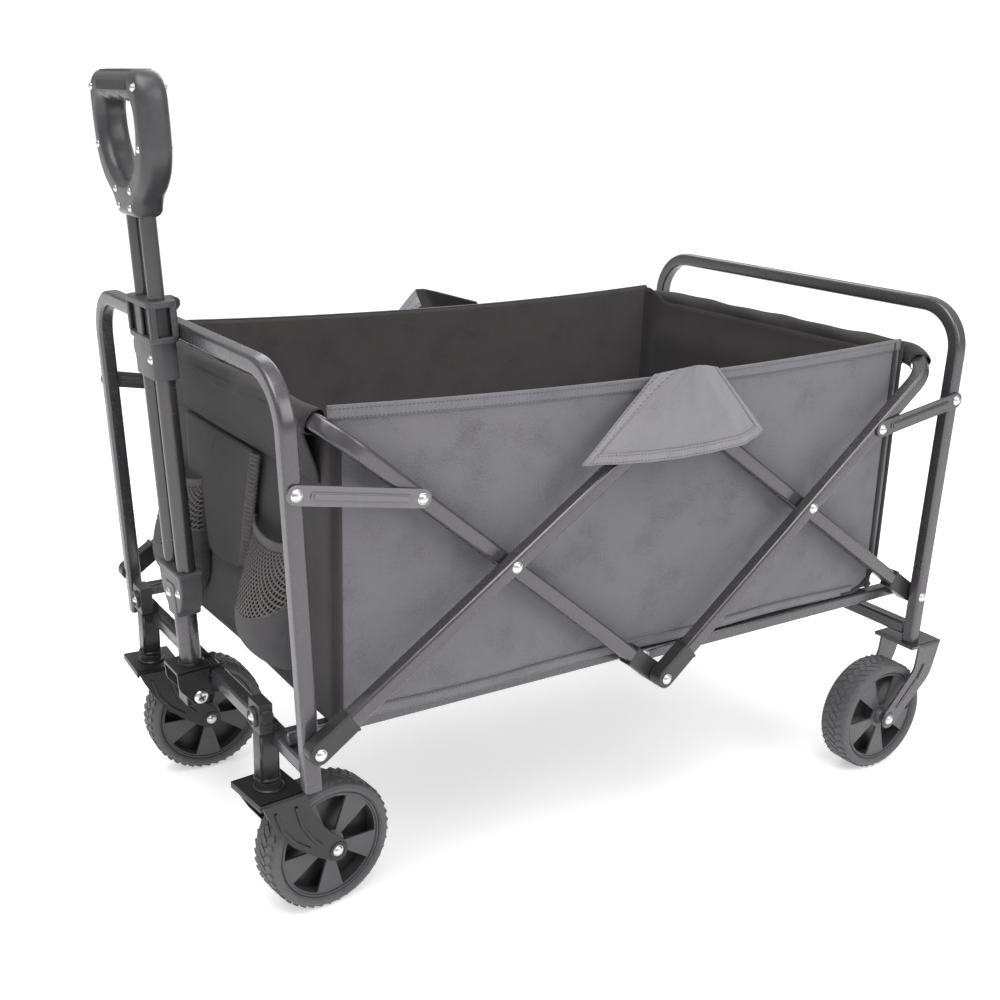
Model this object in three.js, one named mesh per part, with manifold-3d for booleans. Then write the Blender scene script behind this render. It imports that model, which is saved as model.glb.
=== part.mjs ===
// Folding wagon with a telescopic pull handle.
// Millimetres, +X to the handle end, +Y to the wagon's left, +Z up, wheels standing on z = 0.
import * as THREE from 'three';
import { mergeVertices } from 'three/addons/utils/BufferGeometryUtils.js';
import Module from 'manifold-3d';

const wasm = await Module();
wasm.setup();

// ---- Driving dimensions ------------------------------------------------------------------
// The scissor frame is laid out from its middle joint, which stands a little behind the origin.
const MIDDLE_X = -15;
const GAP = 0.3;
const TUBE = 16;
const TUBE_CORNER = 3.5;
// Sides of a round piece, and of a wheel.
const ROUND = 18;
const WHEEL_ROUND = 36;
const LAYER_IN = 242;
const LAYER_OUT = 259;

const FRONT_PIVOT = new THREE.Vector2(MIDDLE_X + 396, 224);
const REAR_PIVOT = new THREE.Vector2(MIDDLE_X - 398, 218);
const LOW_CENTRE = new THREE.Vector2(MIDDLE_X, 204.1);
const CROSS_FRONT = new THREE.Vector2(MIDDLE_X + 193.7, 362.9);
const CROSS_REAR = new THREE.Vector2(MIDDLE_X - 193.7, 361.5);
const TOP_CENTRE_A = new THREE.Vector2(MIDDLE_X, 495.9);
const TOP_CENTRE_D = new THREE.Vector2(MIDDLE_X, 497.5);
const LINK = { hoopX: 408, hoopZ: 460, braceX: 287.4, braceZ: 439.6 };
const [LINK_FRONT, LINK_REAR] = [1, -1].map((end) => [
  new THREE.Vector2(MIDDLE_X + end * LINK.hoopX, LINK.hoopZ),
  new THREE.Vector2(MIDDLE_X + end * LINK.braceX, LINK.braceZ),
]);

const FRONT_HOOP = { half: LAYER_IN, lowX: MIDDLE_X + 394, lowZ: 178, topX: MIDDLE_X + 414.3, topZ: 560 };
const REAR_HOOP = { half: LAYER_OUT, lowX: MIDDLE_X - 396.6, lowZ: 158.3, topX: MIDDLE_X - 411.9, topZ: 563 };
const HOOP_BEND = 50;
const BRACE_LENGTH = 484;
const BRACE_BEND = 42;
const BAR_CAP = { length: 36, width: 20, thick: 16.8 };

const RAIL = { size: 14, z: 216.5, innerY: 207.5, outerY: 223, overlap: 12, crossFromPivot: 250 };
const FRONT_BAR = { x: MIDDLE_X + 394, z: 198.5 };
const REAR_BAR = { x: MIDDLE_X - 397, z: 174 };

const BAG = { frontX: MIDDLE_X + 363, rearX: MIDDLE_X - 352, half: 227.5, low: 228, high: 521, cloth: 2 };
const FLAP = { half: 126, lowZ: 450, peakZ: 536, shoulderZ: 518, faceY: 270.5 };

const WHEEL = { radius: 68.6, width: 41.4, rim: 49.5, rimInner: 44, hub: 13, disc: 7, spokes: 5, bore: 4.3 };
const AXLE = { radius: 4, head: 6.5, headThick: 2, reach: 30 };
const FORK = { half: 29.5, thick: 2.5, plate: 4, plateTop: 145.5 };
const STEM = {
  x: MIDDLE_X + 403.5,
  y: 166.5,
  sizeX: 23,
  sizeY: 19,
  low: 157,
  high: 214,
  capTop: 238,
  cap: 25,
};
const TRAIL = 58.3;
const CASTER_TURN = { left: THREE.MathUtils.degToRad(5.5), right: THREE.MathUtils.degToRad(-3) };
const REAR_WHEEL = { x: MIDDLE_X - 356.8, y: 244.7, plateTop: 158 };

const HANDLE = { x: MIDDLE_X + 414, z: 180, lean: THREE.MathUtils.degToRad(3.45), spread: 18 };
const TWIN = { outer: 9.25, inner: 8.1, low: 138.3, high: 339.7 };
const UPPER = { radius: 7.8, low: 196, high: 486.7 };
const COLLAR = { low: 340, high: 411, halfY: 33, halfX: 12, flangeY: 36, flangeX: 14.4 };

// ---- Materials ---------------------------------------------------------------------------
const STEEL = new THREE.MeshStandardMaterial({ color: 0x3a3a3d, roughness: 0.38, metalness: 0.55 });
const BLACK_STEEL = new THREE.MeshStandardMaterial({ color: 0x1f1f21, roughness: 0.4, metalness: 0.5 });
const PLASTIC = new THREE.MeshStandardMaterial({ color: 0x2b2b2e, roughness: 0.5, metalness: 0 });
const BLACK_PLASTIC = new THREE.MeshStandardMaterial({ color: 0x161617, roughness: 0.5, metalness: 0 });
const RUBBER = new THREE.MeshStandardMaterial({ color: 0x2e2e31, roughness: 0.8, metalness: 0 });
const ZINC = new THREE.MeshStandardMaterial({ color: 0xc8c8ca, roughness: 0.3, metalness: 0.9 });
const GREY_CLOTH = new THREE.MeshStandardMaterial({ color: 0x57585c, roughness: 0.9, metalness: 0 });
const BLACK_CLOTH = new THREE.MeshStandardMaterial({ color: 0x1b1a1a, roughness: 0.95, metalness: 0 });

// ---- Solids: cutting, joining and placing --------------------------------------------------
function toSolid(geometry) {
  const bare = geometry.clone();
  bare.deleteAttribute('normal');
  bare.deleteAttribute('uv');
  const merged = mergeVertices(bare, 1e-4);
  const mesh = new wasm.Mesh({
    numProp: 3,
    vertProperties: new Float32Array(merged.attributes.position.array),
    triVerts: new Uint32Array(merged.index.array),
  });
  return new wasm.Manifold(mesh);
}

function toGeometry(solid) {
  const mesh = solid.getMesh();
  const geometry = new THREE.BufferGeometry();
  geometry.setAttribute('position', new THREE.BufferAttribute(new Float32Array(mesh.vertProperties), 3));
  geometry.setIndex(new THREE.BufferAttribute(new Uint32Array(mesh.triVerts), 1));
  return geometry;
}

function join(...geometries) {
  return toGeometry(geometries.map(toSolid).reduce((whole, piece) => whole.add(piece)));
}

function cut(geometry, ...tools) {
  return toGeometry(tools.map(toSolid).reduce((whole, tool) => whole.subtract(tool), toSolid(geometry)));
}

function part(name, geometry, material) {
  const mesh = new THREE.Mesh(geometry, material);
  mesh.name = name;
  return mesh;
}

function box([x0, x1], [y0, y1], [z0, z1]) {
  const geometry = new THREE.BoxGeometry(x1 - x0, y1 - y0, z1 - z0);
  return geometry.translate((x0 + x1) / 2, (y0 + y1) / 2, (z0 + z1) / 2);
}

// A flat outline in x and z, given thickness between two values of y.
function slab(outline, [y0, y1], curveSegments = 4) {
  const geometry = new THREE.ExtrudeGeometry(outline, { depth: y1 - y0, bevelEnabled: false, curveSegments });
  return geometry.rotateX(Math.PI / 2).translate(0, y1, 0);
}

// A flat outline in y and z, given thickness between two values of x.
function upright(outline, [x0, x1], curveSegments = 5) {
  const geometry = new THREE.ExtrudeGeometry(outline, { depth: x1 - x0, bevelEnabled: false, curveSegments });
  return geometry.rotateX(Math.PI / 2).rotateZ(Math.PI / 2).translate(x0, 0, 0);
}

// A flat outline in x and y, raised between two heights.
function plate(outline, [z0, z1], curveSegments = 2) {
  const geometry = new THREE.ExtrudeGeometry(outline, { depth: z1 - z0, bevelEnabled: false, curveSegments });
  return geometry.translate(0, 0, z0);
}

function polygon(points) {
  return new THREE.Shape(points.map(([x, y]) => new THREE.Vector2(x, y)));
}

function roundedRectangle(width, height, radius) {
  const shape = new THREE.Shape();
  const [x, y] = [width / 2 - radius, height / 2 - radius];
  shape.absarc(x, y, radius, 0, Math.PI / 2);
  shape.absarc(-x, y, radius, Math.PI / 2, Math.PI);
  shape.absarc(-x, -y, radius, Math.PI, 1.5 * Math.PI);
  shape.absarc(x, -y, radius, 1.5 * Math.PI, 2 * Math.PI);
  return shape;
}

function disc(x, y, radius) {
  const path = new THREE.Path();
  path.absarc(x, y, radius, 0, 2 * Math.PI, true);
  return path;
}

function rod(radius, [y0, y1], x = 0, z = 0) {
  const geometry = new THREE.CylinderGeometry(radius, radius, y1 - y0, ROUND);
  return geometry.translate(x, (y0 + y1) / 2, z);
}

function post(radius, [z0, z1], y = 0, x = 0) {
  const geometry = new THREE.CylinderGeometry(radius, radius, z1 - z0, ROUND);
  return geometry.rotateX(Math.PI / 2).translate(x, y, (z0 + z1) / 2);
}

// ---- Bent tubes ----------------------------------------------------------------------------
// The tube gets one ring at every station, so straights stay plain and bends get the rings.
class BentPath extends THREE.Curve {
  constructor(stations) {
    super();
    this.stations = stations;
  }
  at(t) {
    return this.stations[Math.round(t * (this.stations.length - 1))];
  }
  getPoint(t) {
    return this.at(t).point.clone();
  }
  getPointAt(u) {
    return this.getPoint(u);
  }
  getTangentAt(u) {
    return this.at(u).direction.clone();
  }
}

function bendStations(before, corner, after, radius, count = 6) {
  const inward = before.clone().sub(corner).normalize();
  const outward = after.clone().sub(corner).normalize();
  const half = inward.angleTo(outward) / 2;
  const middle = inward.clone().add(outward).normalize();
  const centre = corner.clone().addScaledVector(middle, radius / Math.sin(half));
  const start = corner.clone().addScaledVector(inward, radius / Math.tan(half)).sub(centre);
  const axis = new THREE.Vector3().crossVectors(inward, outward).negate().normalize();
  const stations = [];
  for (let i = 0; i < count; i += 1) {
    const angle = (i / (count - 1)) * (Math.PI - 2 * half);
    const point = start.clone().applyAxisAngle(axis, angle).add(centre);
    const direction = inward.clone().negate().applyAxisAngle(axis, angle);
    stations.push({ point, direction });
  }
  return stations;
}

function bentTube(points, radius, size = TUBE) {
  const last = points.length - 1;
  const stations = [{ point: points[0], direction: points[1].clone().sub(points[0]).normalize() }];
  for (let i = 1; i < last; i += 1) {
    stations.push(...bendStations(points[i - 1], points[i], points[i + 1], radius));
  }
  stations.push({ point: points[last], direction: points[last].clone().sub(points[last - 1]).normalize() });
  const extrudePath = new BentPath(stations);
  const options = { extrudePath, steps: stations.length - 1, curveSegments: 1 };
  return new THREE.ExtrudeGeometry(roundedRectangle(size, size, TUBE_CORNER), options);
}

// A straight bar in one layer of the scissor frame, between two distances along a line.
function straightBar(from, towards, [start, end], y, size = TUBE) {
  const along = towards.clone().sub(from).normalize();
  const a = from.clone().addScaledVector(along, start);
  const b = from.clone().addScaledVector(along, end);
  return bentTube([new THREE.Vector3(a.x, y, a.y), new THREE.Vector3(b.x, y, b.y)], 0, size);
}

// The moulded end cap of a bar: a flat-sided boot, rounded about the pivot.
function barCap(pivot, towards, y) {
  const { length, width, thick } = BAR_CAP;
  const along = towards.clone().sub(pivot).normalize();
  const outline = new THREE.Shape();
  outline.absarc(0, 0, width / 2, Math.PI / 2, 1.5 * Math.PI);
  outline.lineTo(length, -width / 2 + 1);
  outline.lineTo(length, width / 2 - 1);
  const geometry = slab(outline, [y - thick / 2, y + thick / 2]);
  return geometry.rotateY(-along.angle()).translate(pivot.x, 0, pivot.y);
}

// ---- Hoops and fixed frame -------------------------------------------------------------------
function hoop(name, { half, lowX, lowZ, topX, topZ }) {
  const points = [
    new THREE.Vector3(lowX, -half, lowZ),
    new THREE.Vector3(topX, -half, topZ),
    new THREE.Vector3(topX, half, topZ),
    new THREE.Vector3(lowX, half, lowZ),
  ];
  return part(name, bentTube(points, HOOP_BEND), STEEL);
}

function crossBar(name, { x, z }, half, size) {
  const points = [new THREE.Vector3(x, -half, z), new THREE.Vector3(x, half, z)];
  return part(name, bentTube(points, 0, size), STEEL);
}

function hingeLug() {
  const bar = FRONT_BAR.x + TUBE / 2;
  const block = box([bar + GAP, HANDLE.x + 12], [-13, 13], [HANDLE.z - 12, HANDLE.z + 11]);
  const bore = rod(AXLE.radius + GAP, [-20, 20], HANDLE.x, HANDLE.z);
  return part('hinge_lug', cut(block, bore), BLACK_STEEL);
}

// The upright tube over a caster, notched round the crossbar and closed with a moulded cap.
function casterStem(name, side) {
  const { x, y, sizeX, sizeY, low, high, capTop, cap } = STEM;
  const tube = plate(roundedRectangle(sizeX, sizeY, 2), [low, high + 1]);
  const top = plate(roundedRectangle(cap, cap, 4), [high, capTop]);
  const whole = join(tube, top).translate(x, side * y, 0);
  const half = TUBE / 2 + GAP;
  const behind = [x - sizeX, FRONT_BAR.x + half];
  const notch = box(behind, [side * y - cap, side * y + cap], [FRONT_BAR.z - half, FRONT_BAR.z + half]);
  const heel = box(behind, [side * y - cap, side * y + cap], [FRONT_BAR.z, capTop + 1]);
  return part(name, cut(whole, notch, heel), BLACK_STEEL);
}

// ---- Scissor frame ---------------------------------------------------------------------------
// Two single bars a side reach from a hoop's foot to the top middle joint.
function sideBar(prefix, pivot, top, layer, side) {
  const end = pivot.distanceTo(top) + 8;
  const y = side * layer;
  const bar = straightBar(pivot, top, [BAR_CAP.length + GAP, end], y);
  const suffix = side > 0 ? 'left' : 'right';
  return [
    part(`${prefix}_bar_${suffix}`, bar, STEEL),
    part(`${prefix}_bar_cap_${suffix}`, barCap(pivot, top, y), BLACK_PLASTIC),
  ];
}

// A brace is one U tube: both long legs and the cross tube that carries the cloth.
function brace(name, cross, layer) {
  const along = cross.clone().sub(LOW_CENTRE).normalize();
  const foot = LOW_CENTRE.clone().addScaledVector(along, BAR_CAP.length - 4);
  const head = LOW_CENTRE.clone().addScaledVector(along, BRACE_LENGTH);
  const points = [
    new THREE.Vector3(foot.x, -layer, foot.y),
    new THREE.Vector3(head.x, -layer, head.y),
    new THREE.Vector3(head.x, layer, head.y),
    new THREE.Vector3(foot.x, layer, foot.y),
  ];
  const caps = [-layer, layer].map((y) => barCap(LOW_CENTRE, cross, y));
  return part(name, join(bentTube(points, BRACE_BEND), ...caps), STEEL);
}

// A pressed steel strap with round ends.
function link(name, [from, to], y) {
  const length = from.distanceTo(to);
  const outline = new THREE.Shape();
  outline.absarc(0, 0, 9, Math.PI / 2, 1.5 * Math.PI);
  outline.absarc(length, 0, 9, 1.5 * Math.PI, 2.5 * Math.PI);
  const angle = to.clone().sub(from).angle();
  const geometry = slab(outline, [-1.3, 1.3]).rotateY(-angle).translate(from.x, y, from.y);
  return part(name, geometry, STEEL);
}

// ---- Floor frame -----------------------------------------------------------------------------
// Half of the floor frame: two rails hinged at a hoop, joined by one cross tube.
function floorFrame(name, pivotX, y, direction) {
  const { size, z, overlap, crossFromPivot } = RAIL;
  const pivot = new THREE.Vector2(pivotX, z);
  const middle = new THREE.Vector2(MIDDLE_X, z);
  const reach = pivot.distanceTo(middle) + overlap;
  const rails = [-y, y].map((side) => straightBar(pivot, middle, [-6, reach], side, size));
  const x = pivotX + direction * crossFromPivot;
  const tie = bentTube([new THREE.Vector3(x, -y, z), new THREE.Vector3(x, y, z)], 0, size - 2);
  return part(name, join(...rails, tie), STEEL);
}

// ---- Cloth bag -------------------------------------------------------------------------------
function sidePanel(name, side) {
  const { frontX, rearX, half, low, high, cloth } = BAG;
  const outline = polygon([
    [rearX, high + 6],
    [rearX, low + 40],
    [rearX + 12, low + 12],
    [rearX + 40, low],
    [frontX, low],
    [frontX, high - 38],
    [frontX - 12, high - 30],
    [frontX - 12, high + 4],
    [MIDDLE_X, high - 4],
  ]);
  const [inner, outer] = [half - cloth, half];
  return part(name, slab(outline, side > 0 ? [inner, outer] : [-outer, -inner]), GREY_CLOTH);
}

function endPanel(name, x, high) {
  const half = BAG.half - BAG.cloth - GAP;
  const panel = box([x, x + BAG.cloth], [-half, half], [BAG.low, high]);
  return part(name, panel, BLACK_CLOTH);
}

function floorHalf(name, [x0, x1]) {
  const half = BAG.half - BAG.cloth - GAP;
  return part(name, box([x0, x1], [-half, half], [BAG.low, BAG.low + 4]), BLACK_CLOTH);
}

// The cloth flap that hangs over the top middle joint.
function flap(name, side) {
  const { half, lowZ, peakZ, shoulderZ, faceY } = FLAP;
  const rimY = BAG.half + 1;
  const thick = 1.8;
  const section = polygon([
    [rimY, peakZ],
    [rimY, peakZ - thick],
    [faceY - thick, shoulderZ - thick],
    [faceY - thick, lowZ],
    [faceY, lowZ],
    [faceY, shoulderZ],
  ]);
  const outline = polygon([
    [-half, lowZ - 4],
    [half, lowZ - 4],
    [half, lowZ + 4],
    [14, peakZ + 4],
    [-14, peakZ + 4],
    [-half, lowZ + 4],
  ]);
  const strip = toSolid(upright(section, [-half, half]));
  const triangle = toSolid(slab(outline, [0, faceY + 20]));
  const geometry = toGeometry(strip.intersect(triangle)).translate(MIDDLE_X, 0, 0);
  if (side < 0) {
    geometry.rotateZ(Math.PI).translate(2 * MIDDLE_X, 0, 0);
  }
  return part(name, geometry, GREY_CLOTH);
}

// ---- Wheels, axles and forks -------------------------------------------------------------------
function tyre(name) {
  const { radius, width, rim } = WHEEL;
  const [half, edge] = [width / 2, 5];
  const profile = [
    [rim + GAP, -half + 3],
    [radius - edge - 2, -half],
    [radius - 1.2, -half + edge],
    [radius, 0],
    [radius - 1.2, half - edge],
    [radius - edge - 2, half],
    [rim + GAP, half - 3],
    [rim + GAP, -half + 3],
  ].map(([x, y]) => new THREE.Vector2(x, y));
  return part(name, new THREE.LatheGeometry(profile, WHEEL_ROUND), RUBBER);
}

// One window between two spokes, a wedge with an arc for its outer side.
function window(index) {
  const middle = (index / WHEEL.spokes) * 2 * Math.PI + Math.PI / 2;
  const [inner, outer] = [17, 41];
  const [narrow, wide] = [0.3, 0.36];
  const path = new THREE.Path();
  path.moveTo(inner * Math.cos(middle - narrow), inner * Math.sin(middle - narrow));
  path.lineTo(inner * Math.cos(middle + narrow), inner * Math.sin(middle + narrow));
  path.absarc(0, 0, outer, middle + wide, middle - wide, true);
  return path;
}

function wheel(name) {
  const { rim, rimInner, hub, disc: thick, width, spokes, bore } = WHEEL;
  const face = new THREE.Shape();
  face.absarc(0, 0, rimInner + 1, 0, 2 * Math.PI);
  for (let i = 0; i < spokes; i += 1) {
    face.holes.push(window(i));
  }
  const half = width / 2 - 3;
  const web = slab(face, [-thick / 2, thick / 2]);
  const ring = new THREE.LatheGeometry(
    [[rimInner, -half], [rim, -half], [rim, half], [rimInner, half], [rimInner, -half]].map(
      ([x, y]) => new THREE.Vector2(x, y),
    ),
    WHEEL_ROUND,
  );
  const boss = rod(hub, [-half - 4, half + 4]);
  return part(name, cut(join(web, ring, boss), rod(bore, [-width, width])), PLASTIC);
}

function axle(name) {
  const { radius, head, headThick, reach } = AXLE;
  const heads = [reach, -reach - headThick].map((start) => rod(head, [start, start + headThick]));
  return part(name, join(rod(radius, [-reach - 1, reach + 1]), ...heads), ZINC);
}

// The whole rolling wheel, turning about its own y axis.
function rollingWheel(place, position) {
  const group = new THREE.Group();
  group.add(wheel(`wheel_${place}`), tyre(`tyre_${place}`), axle(`axle_${place}`));
  group.position.copy(position);
  return group;
}

// Both arms of a fork from one outline, bored for the axle, with the plate that joins them.
function fork(outline, top, [x0, x1]) {
  const { half, thick, plate: deep } = FORK;
  const arms = [[half - thick, half], [-half, thick - half]].map((span) => slab(outline, span));
  const bridge = box([x0, x1], [-half, half], [top - deep, top]);
  const bore = rod(AXLE.radius + GAP, [-half - 1, half + 1]);
  return cut(join(...arms, bridge), bore);
}

// The crescent arm of a caster, measured from the wheel's centre.
function casterArm() {
  const top = FORK.plateTop - WHEEL.radius - 1;
  const arm = new THREE.Shape();
  arm.moveTo(34, top);
  arm.quadraticCurveTo(25, 32, -8, 8.5);
  arm.absarc(0, 0, 11.5, 2.4, 5.4);
  arm.quadraticCurveTo(56, 15, 82, top);
  return arm;
}

function rearArm() {
  const top = REAR_WHEEL.plateTop - WHEEL.radius - 1;
  const arm = new THREE.Shape();
  arm.moveTo(-40, top);
  arm.lineTo(-36, 58);
  arm.lineTo(8, 8.5);
  arm.absarc(0, 0, 11.5, 0.75, -2.2, true);
  arm.lineTo(-68, 46);
  arm.lineTo(-78, top);
  return arm;
}

// A caster turns about the upright axis of its stem and trails its wheel behind it.
function caster(place, side) {
  const plateTop = FORK.plateTop - WHEEL.radius;
  const bearing = post(15, [FORK.plateTop - 1 - WHEEL.radius, STEM.low - GAP - WHEEL.radius], 0, TRAIL);
  const geometry = join(fork(casterArm(), plateTop, [TRAIL - 25, TRAIL + 24]), bearing);
  const body = part(`fork_${place}`, geometry, BLACK_STEEL);
  const group = new THREE.Group();
  const trailing = new THREE.Group();
  trailing.add(body, rollingWheel(place, new THREE.Vector3(0, 0, 0)));
  trailing.position.set(-TRAIL, 0, WHEEL.radius);
  group.add(trailing);
  group.position.set(STEM.x, side * STEM.y, 0);
  group.rotation.z = CASTER_TURN[side > 0 ? 'left' : 'right'];
  return group;
}

function rearWheel(place, side) {
  const { x, y, plateTop } = REAR_WHEEL;
  const geometry = fork(rearArm(), plateTop - WHEEL.radius, [-78, -27]);
  const group = new THREE.Group();
  group.add(part(`fork_${place}`, geometry, BLACK_STEEL), rollingWheel(place, new THREE.Vector3(0, 0, 0)));
  group.position.set(x, side * y, WHEEL.radius);
  return group;
}

// ---- Pull handle -------------------------------------------------------------------------------
// Everything of the handle is measured from its hinge bolt, with z along the handle.
function yoke() {
  const cheek = new THREE.Shape();
  cheek.moveTo(-11, 30);
  cheek.lineTo(-11, 0);
  cheek.absarc(0, 0, 11, Math.PI, 2 * Math.PI);
  cheek.lineTo(20, 12);
  cheek.lineTo(20, 30);
  const cheeks = [[17, 20], [-20, -17]].map((span) => slab(cheek, span));
  const top = box([-15, 22], [-20, 20], [28, 32]);
  return part('yoke', cut(join(...cheeks, top), rod(AXLE.radius + GAP, [-30, 30])), BLACK_STEEL);
}

function hingeBolt() {
  const shank = rod(AXLE.radius, [-23, 21]);
  const head = rod(7, [20.3, 24]);
  const nut = new THREE.CylinderGeometry(7, 7, 4, 6).translate(0, -22.4, 0);
  return part('hinge_bolt', join(shank, head, nut), ZINC);
}

// The moulded clamp that joins the single foot tube to the twin tubes.
function lowerClamp() {
  const outline = new THREE.Shape();
  outline.moveTo(-31, 138);
  outline.lineTo(-31, 122);
  outline.bezierCurveTo(-31, 100, -16, 94, -12, 92);
  outline.lineTo(12, 92);
  outline.bezierCurveTo(16, 94, 31, 100, 31, 122);
  outline.lineTo(31, 138);
  return part('lower_clamp', upright(outline, [-12.5, 12.5]), PLASTIC);
}

function twinTube(name, y) {
  const ring = new THREE.Shape();
  ring.absarc(0, y, TWIN.outer, 0, 2 * Math.PI);
  ring.holes.push(disc(0, y, TWIN.inner));
  const options = { depth: TWIN.high - TWIN.low, bevelEnabled: false, curveSegments: ROUND / 2 };
  return part(name, new THREE.ExtrudeGeometry(ring, options).translate(0, 0, TWIN.low), STEEL);
}

function collar() {
  const { low, high, halfX, halfY, flangeX, flangeY } = COLLAR;
  const body = plate(roundedRectangle(2 * halfX, 2 * halfY, 8), [low, high - 1]);
  const rim = roundedRectangle(2 * flangeX, 2 * flangeY, 9);
  const flanges = [[372, 377], [405, high]].map((span) => plate(rim, span));
  const bores = [-HANDLE.spread, HANDLE.spread].map((y) => post(TWIN.inner, [low - 1, high + 1], y));
  return part('collar', cut(join(body, ...flanges), ...bores), PLASTIC);
}

// The spring clip on the collar's back: one prong over the hoop's top bar and one under it.
function hoopClip() {
  const back = -COLLAR.flangeX - GAP;
  const outline = polygon([
    [back, 395],
    [back - 22, 395],
    [back - 24, 399],
    [back - 24, 408],
    [back - 20, 414],
    [back, 424],
  ]);
  return part('hoop_clip', slab(outline, [-16, 16]), BLACK_PLASTIC);
}

function clipLever() {
  const outline = polygon([[-9, 346], [6, 346], [9, 352], [9, 366], [4, 371], [-9, 371]]);
  const y = -COLLAR.halfY - GAP;
  return part('clip_lever', slab(outline, [y - 6, y]), BLACK_PLASTIC);
}

function grip() {
  const outer = new THREE.Shape();
  outer.moveTo(-29, 487);
  outer.lineTo(29, 487);
  outer.bezierCurveTo(36, 500, 62, 506, 64, 530);
  outer.lineTo(66, 580);
  outer.bezierCurveTo(66, 606, 52, 614, 40, 614);
  outer.lineTo(-40, 614);
  outer.bezierCurveTo(-52, 614, -66, 606, -66, 580);
  outer.lineTo(-64, 530);
  outer.bezierCurveTo(-62, 506, -36, 500, -29, 487);
  const gap = new THREE.Path();
  gap.moveTo(-34, 520);
  gap.bezierCurveTo(-46, 524, -46, 534, -46, 540);
  gap.lineTo(-47, 574);
  gap.bezierCurveTo(-47, 586, -42, 588, -36, 588);
  gap.lineTo(36, 588);
  gap.bezierCurveTo(42, 588, 47, 586, 47, 574);
  gap.lineTo(46, 540);
  gap.bezierCurveTo(46, 534, 46, 524, 34, 520);
  outer.holes.push(gap);
  return part('grip', upright(outer, [-14, 14]), PLASTIC);
}

function handle() {
  const { x, z, lean, spread } = HANDLE;
  const group = new THREE.Group();
  group.add(
    yoke(),
    hingeBolt(),
    part('foot_tube', post(11.3, [32 + GAP, 92 - GAP]), STEEL),
    lowerClamp(),
    twinTube('twin_tube_left', spread),
    twinTube('twin_tube_right', -spread),
    collar(),
    hoopClip(),
    clipLever(),
    part('upper_tube_left', post(UPPER.radius, [UPPER.low, UPPER.high], spread), STEEL),
    part('upper_tube_right', post(UPPER.radius, [UPPER.low, UPPER.high], -spread), STEEL),
    grip(),
  );
  group.position.set(x, 0, z);
  group.rotation.y = lean;
  return group;
}

// ---- The wagon -----------------------------------------------------------------------------------
const wagon = new THREE.Group();
wagon.name = 'wagon';

wagon.add(
  hoop('front_hoop', FRONT_HOOP),
  crossBar('front_crossbar', FRONT_BAR, LAYER_IN - TUBE / 2 - GAP, TUBE),
  hingeLug(),
  casterStem('stem_left', 1),
  casterStem('stem_right', -1),
  hoop('rear_hoop', REAR_HOOP),
  crossBar('rear_crossbar', REAR_BAR, LAYER_OUT - TUBE / 2 - GAP, TUBE),
);

for (const side of [1, -1]) {
  const suffix = side > 0 ? 'left' : 'right';
  wagon.add(
    ...sideBar('front', FRONT_PIVOT, TOP_CENTRE_A, LAYER_OUT, side),
    ...sideBar('rear', REAR_PIVOT, TOP_CENTRE_D, LAYER_IN, side),
    link(`front_link_${suffix}`, LINK_FRONT, side * (LAYER_IN + TUBE / 2 + 2)),
    link(`rear_link_${suffix}`, LINK_REAR, side * (LAYER_OUT + TUBE / 2 + 2)),
    sidePanel(`side_panel_${suffix}`, side),
    flap(`flap_${suffix}`, side),
    caster(`front_${suffix}`, side),
    rearWheel(`rear_${suffix}`, side),
  );
}

wagon.add(
  brace('front_brace', CROSS_FRONT, LAYER_IN),
  brace('rear_brace', CROSS_REAR, LAYER_OUT),
  floorFrame('floor_frame_front', FRONT_PIVOT.x, RAIL.innerY, -1),
  floorFrame('floor_frame_rear', REAR_PIVOT.x, RAIL.outerY, 1),
  endPanel('front_panel', BAG.frontX + GAP, BAG.high - 29),
  endPanel('rear_panel', BAG.rearX - BAG.cloth - GAP, BAG.high - 24),
  floorHalf('floor_front', [MIDDLE_X + GAP, BAG.frontX]),
  floorHalf('floor_rear', [BAG.rearX, MIDDLE_X]),
  handle(),
);

export default wagon;
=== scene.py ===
from math import atan2, copysign, cos, exp, hypot, pi, radians, sin, sqrt, tan

import bmesh
import bpy
from mathutils import Matrix, Vector


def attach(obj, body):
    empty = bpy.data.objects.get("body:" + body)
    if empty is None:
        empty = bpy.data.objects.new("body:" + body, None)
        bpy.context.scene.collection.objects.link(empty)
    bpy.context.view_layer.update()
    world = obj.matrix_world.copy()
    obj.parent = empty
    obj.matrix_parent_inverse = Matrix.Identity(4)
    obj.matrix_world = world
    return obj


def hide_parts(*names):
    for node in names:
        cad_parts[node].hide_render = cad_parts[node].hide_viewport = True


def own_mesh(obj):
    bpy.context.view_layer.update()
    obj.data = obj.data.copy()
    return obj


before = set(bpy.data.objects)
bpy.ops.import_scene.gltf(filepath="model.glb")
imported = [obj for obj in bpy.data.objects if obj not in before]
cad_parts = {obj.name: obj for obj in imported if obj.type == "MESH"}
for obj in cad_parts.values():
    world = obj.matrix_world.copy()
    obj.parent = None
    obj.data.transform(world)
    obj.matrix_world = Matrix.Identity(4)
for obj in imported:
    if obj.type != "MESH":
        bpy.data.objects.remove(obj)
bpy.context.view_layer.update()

scene = bpy.context.scene

# ---- Floor, lamps and camera ----
# The wagon stands on a pale floor that glows a little, in a white room that is brighter overhead.
# Three broad lamps draw the highlights along its tubes: over the handle end, at its left, behind it.
EYE = Vector((0.8194, 1.1945, 0.7833))
TURN, DIP, TILT = radians(-33.705), radians(17.494), radians(1.7325)
SENSOR, LENS = 36.0, 46.67
WHITE, FLOOR_PALE = (1, 1, 1, 1), (0.93, 0.93, 0.93, 1)
FLOOR_SIZE, FLOOR_ROUGH, FLOOR_GLOW = 14.0, 0.9, 0.42
SIDE_LIGHT, SKY_LIGHT, BACKDROP = 0.36, 0.95, 1.0
LAMP_AIM = Vector((0, 0, 0.3))


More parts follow.
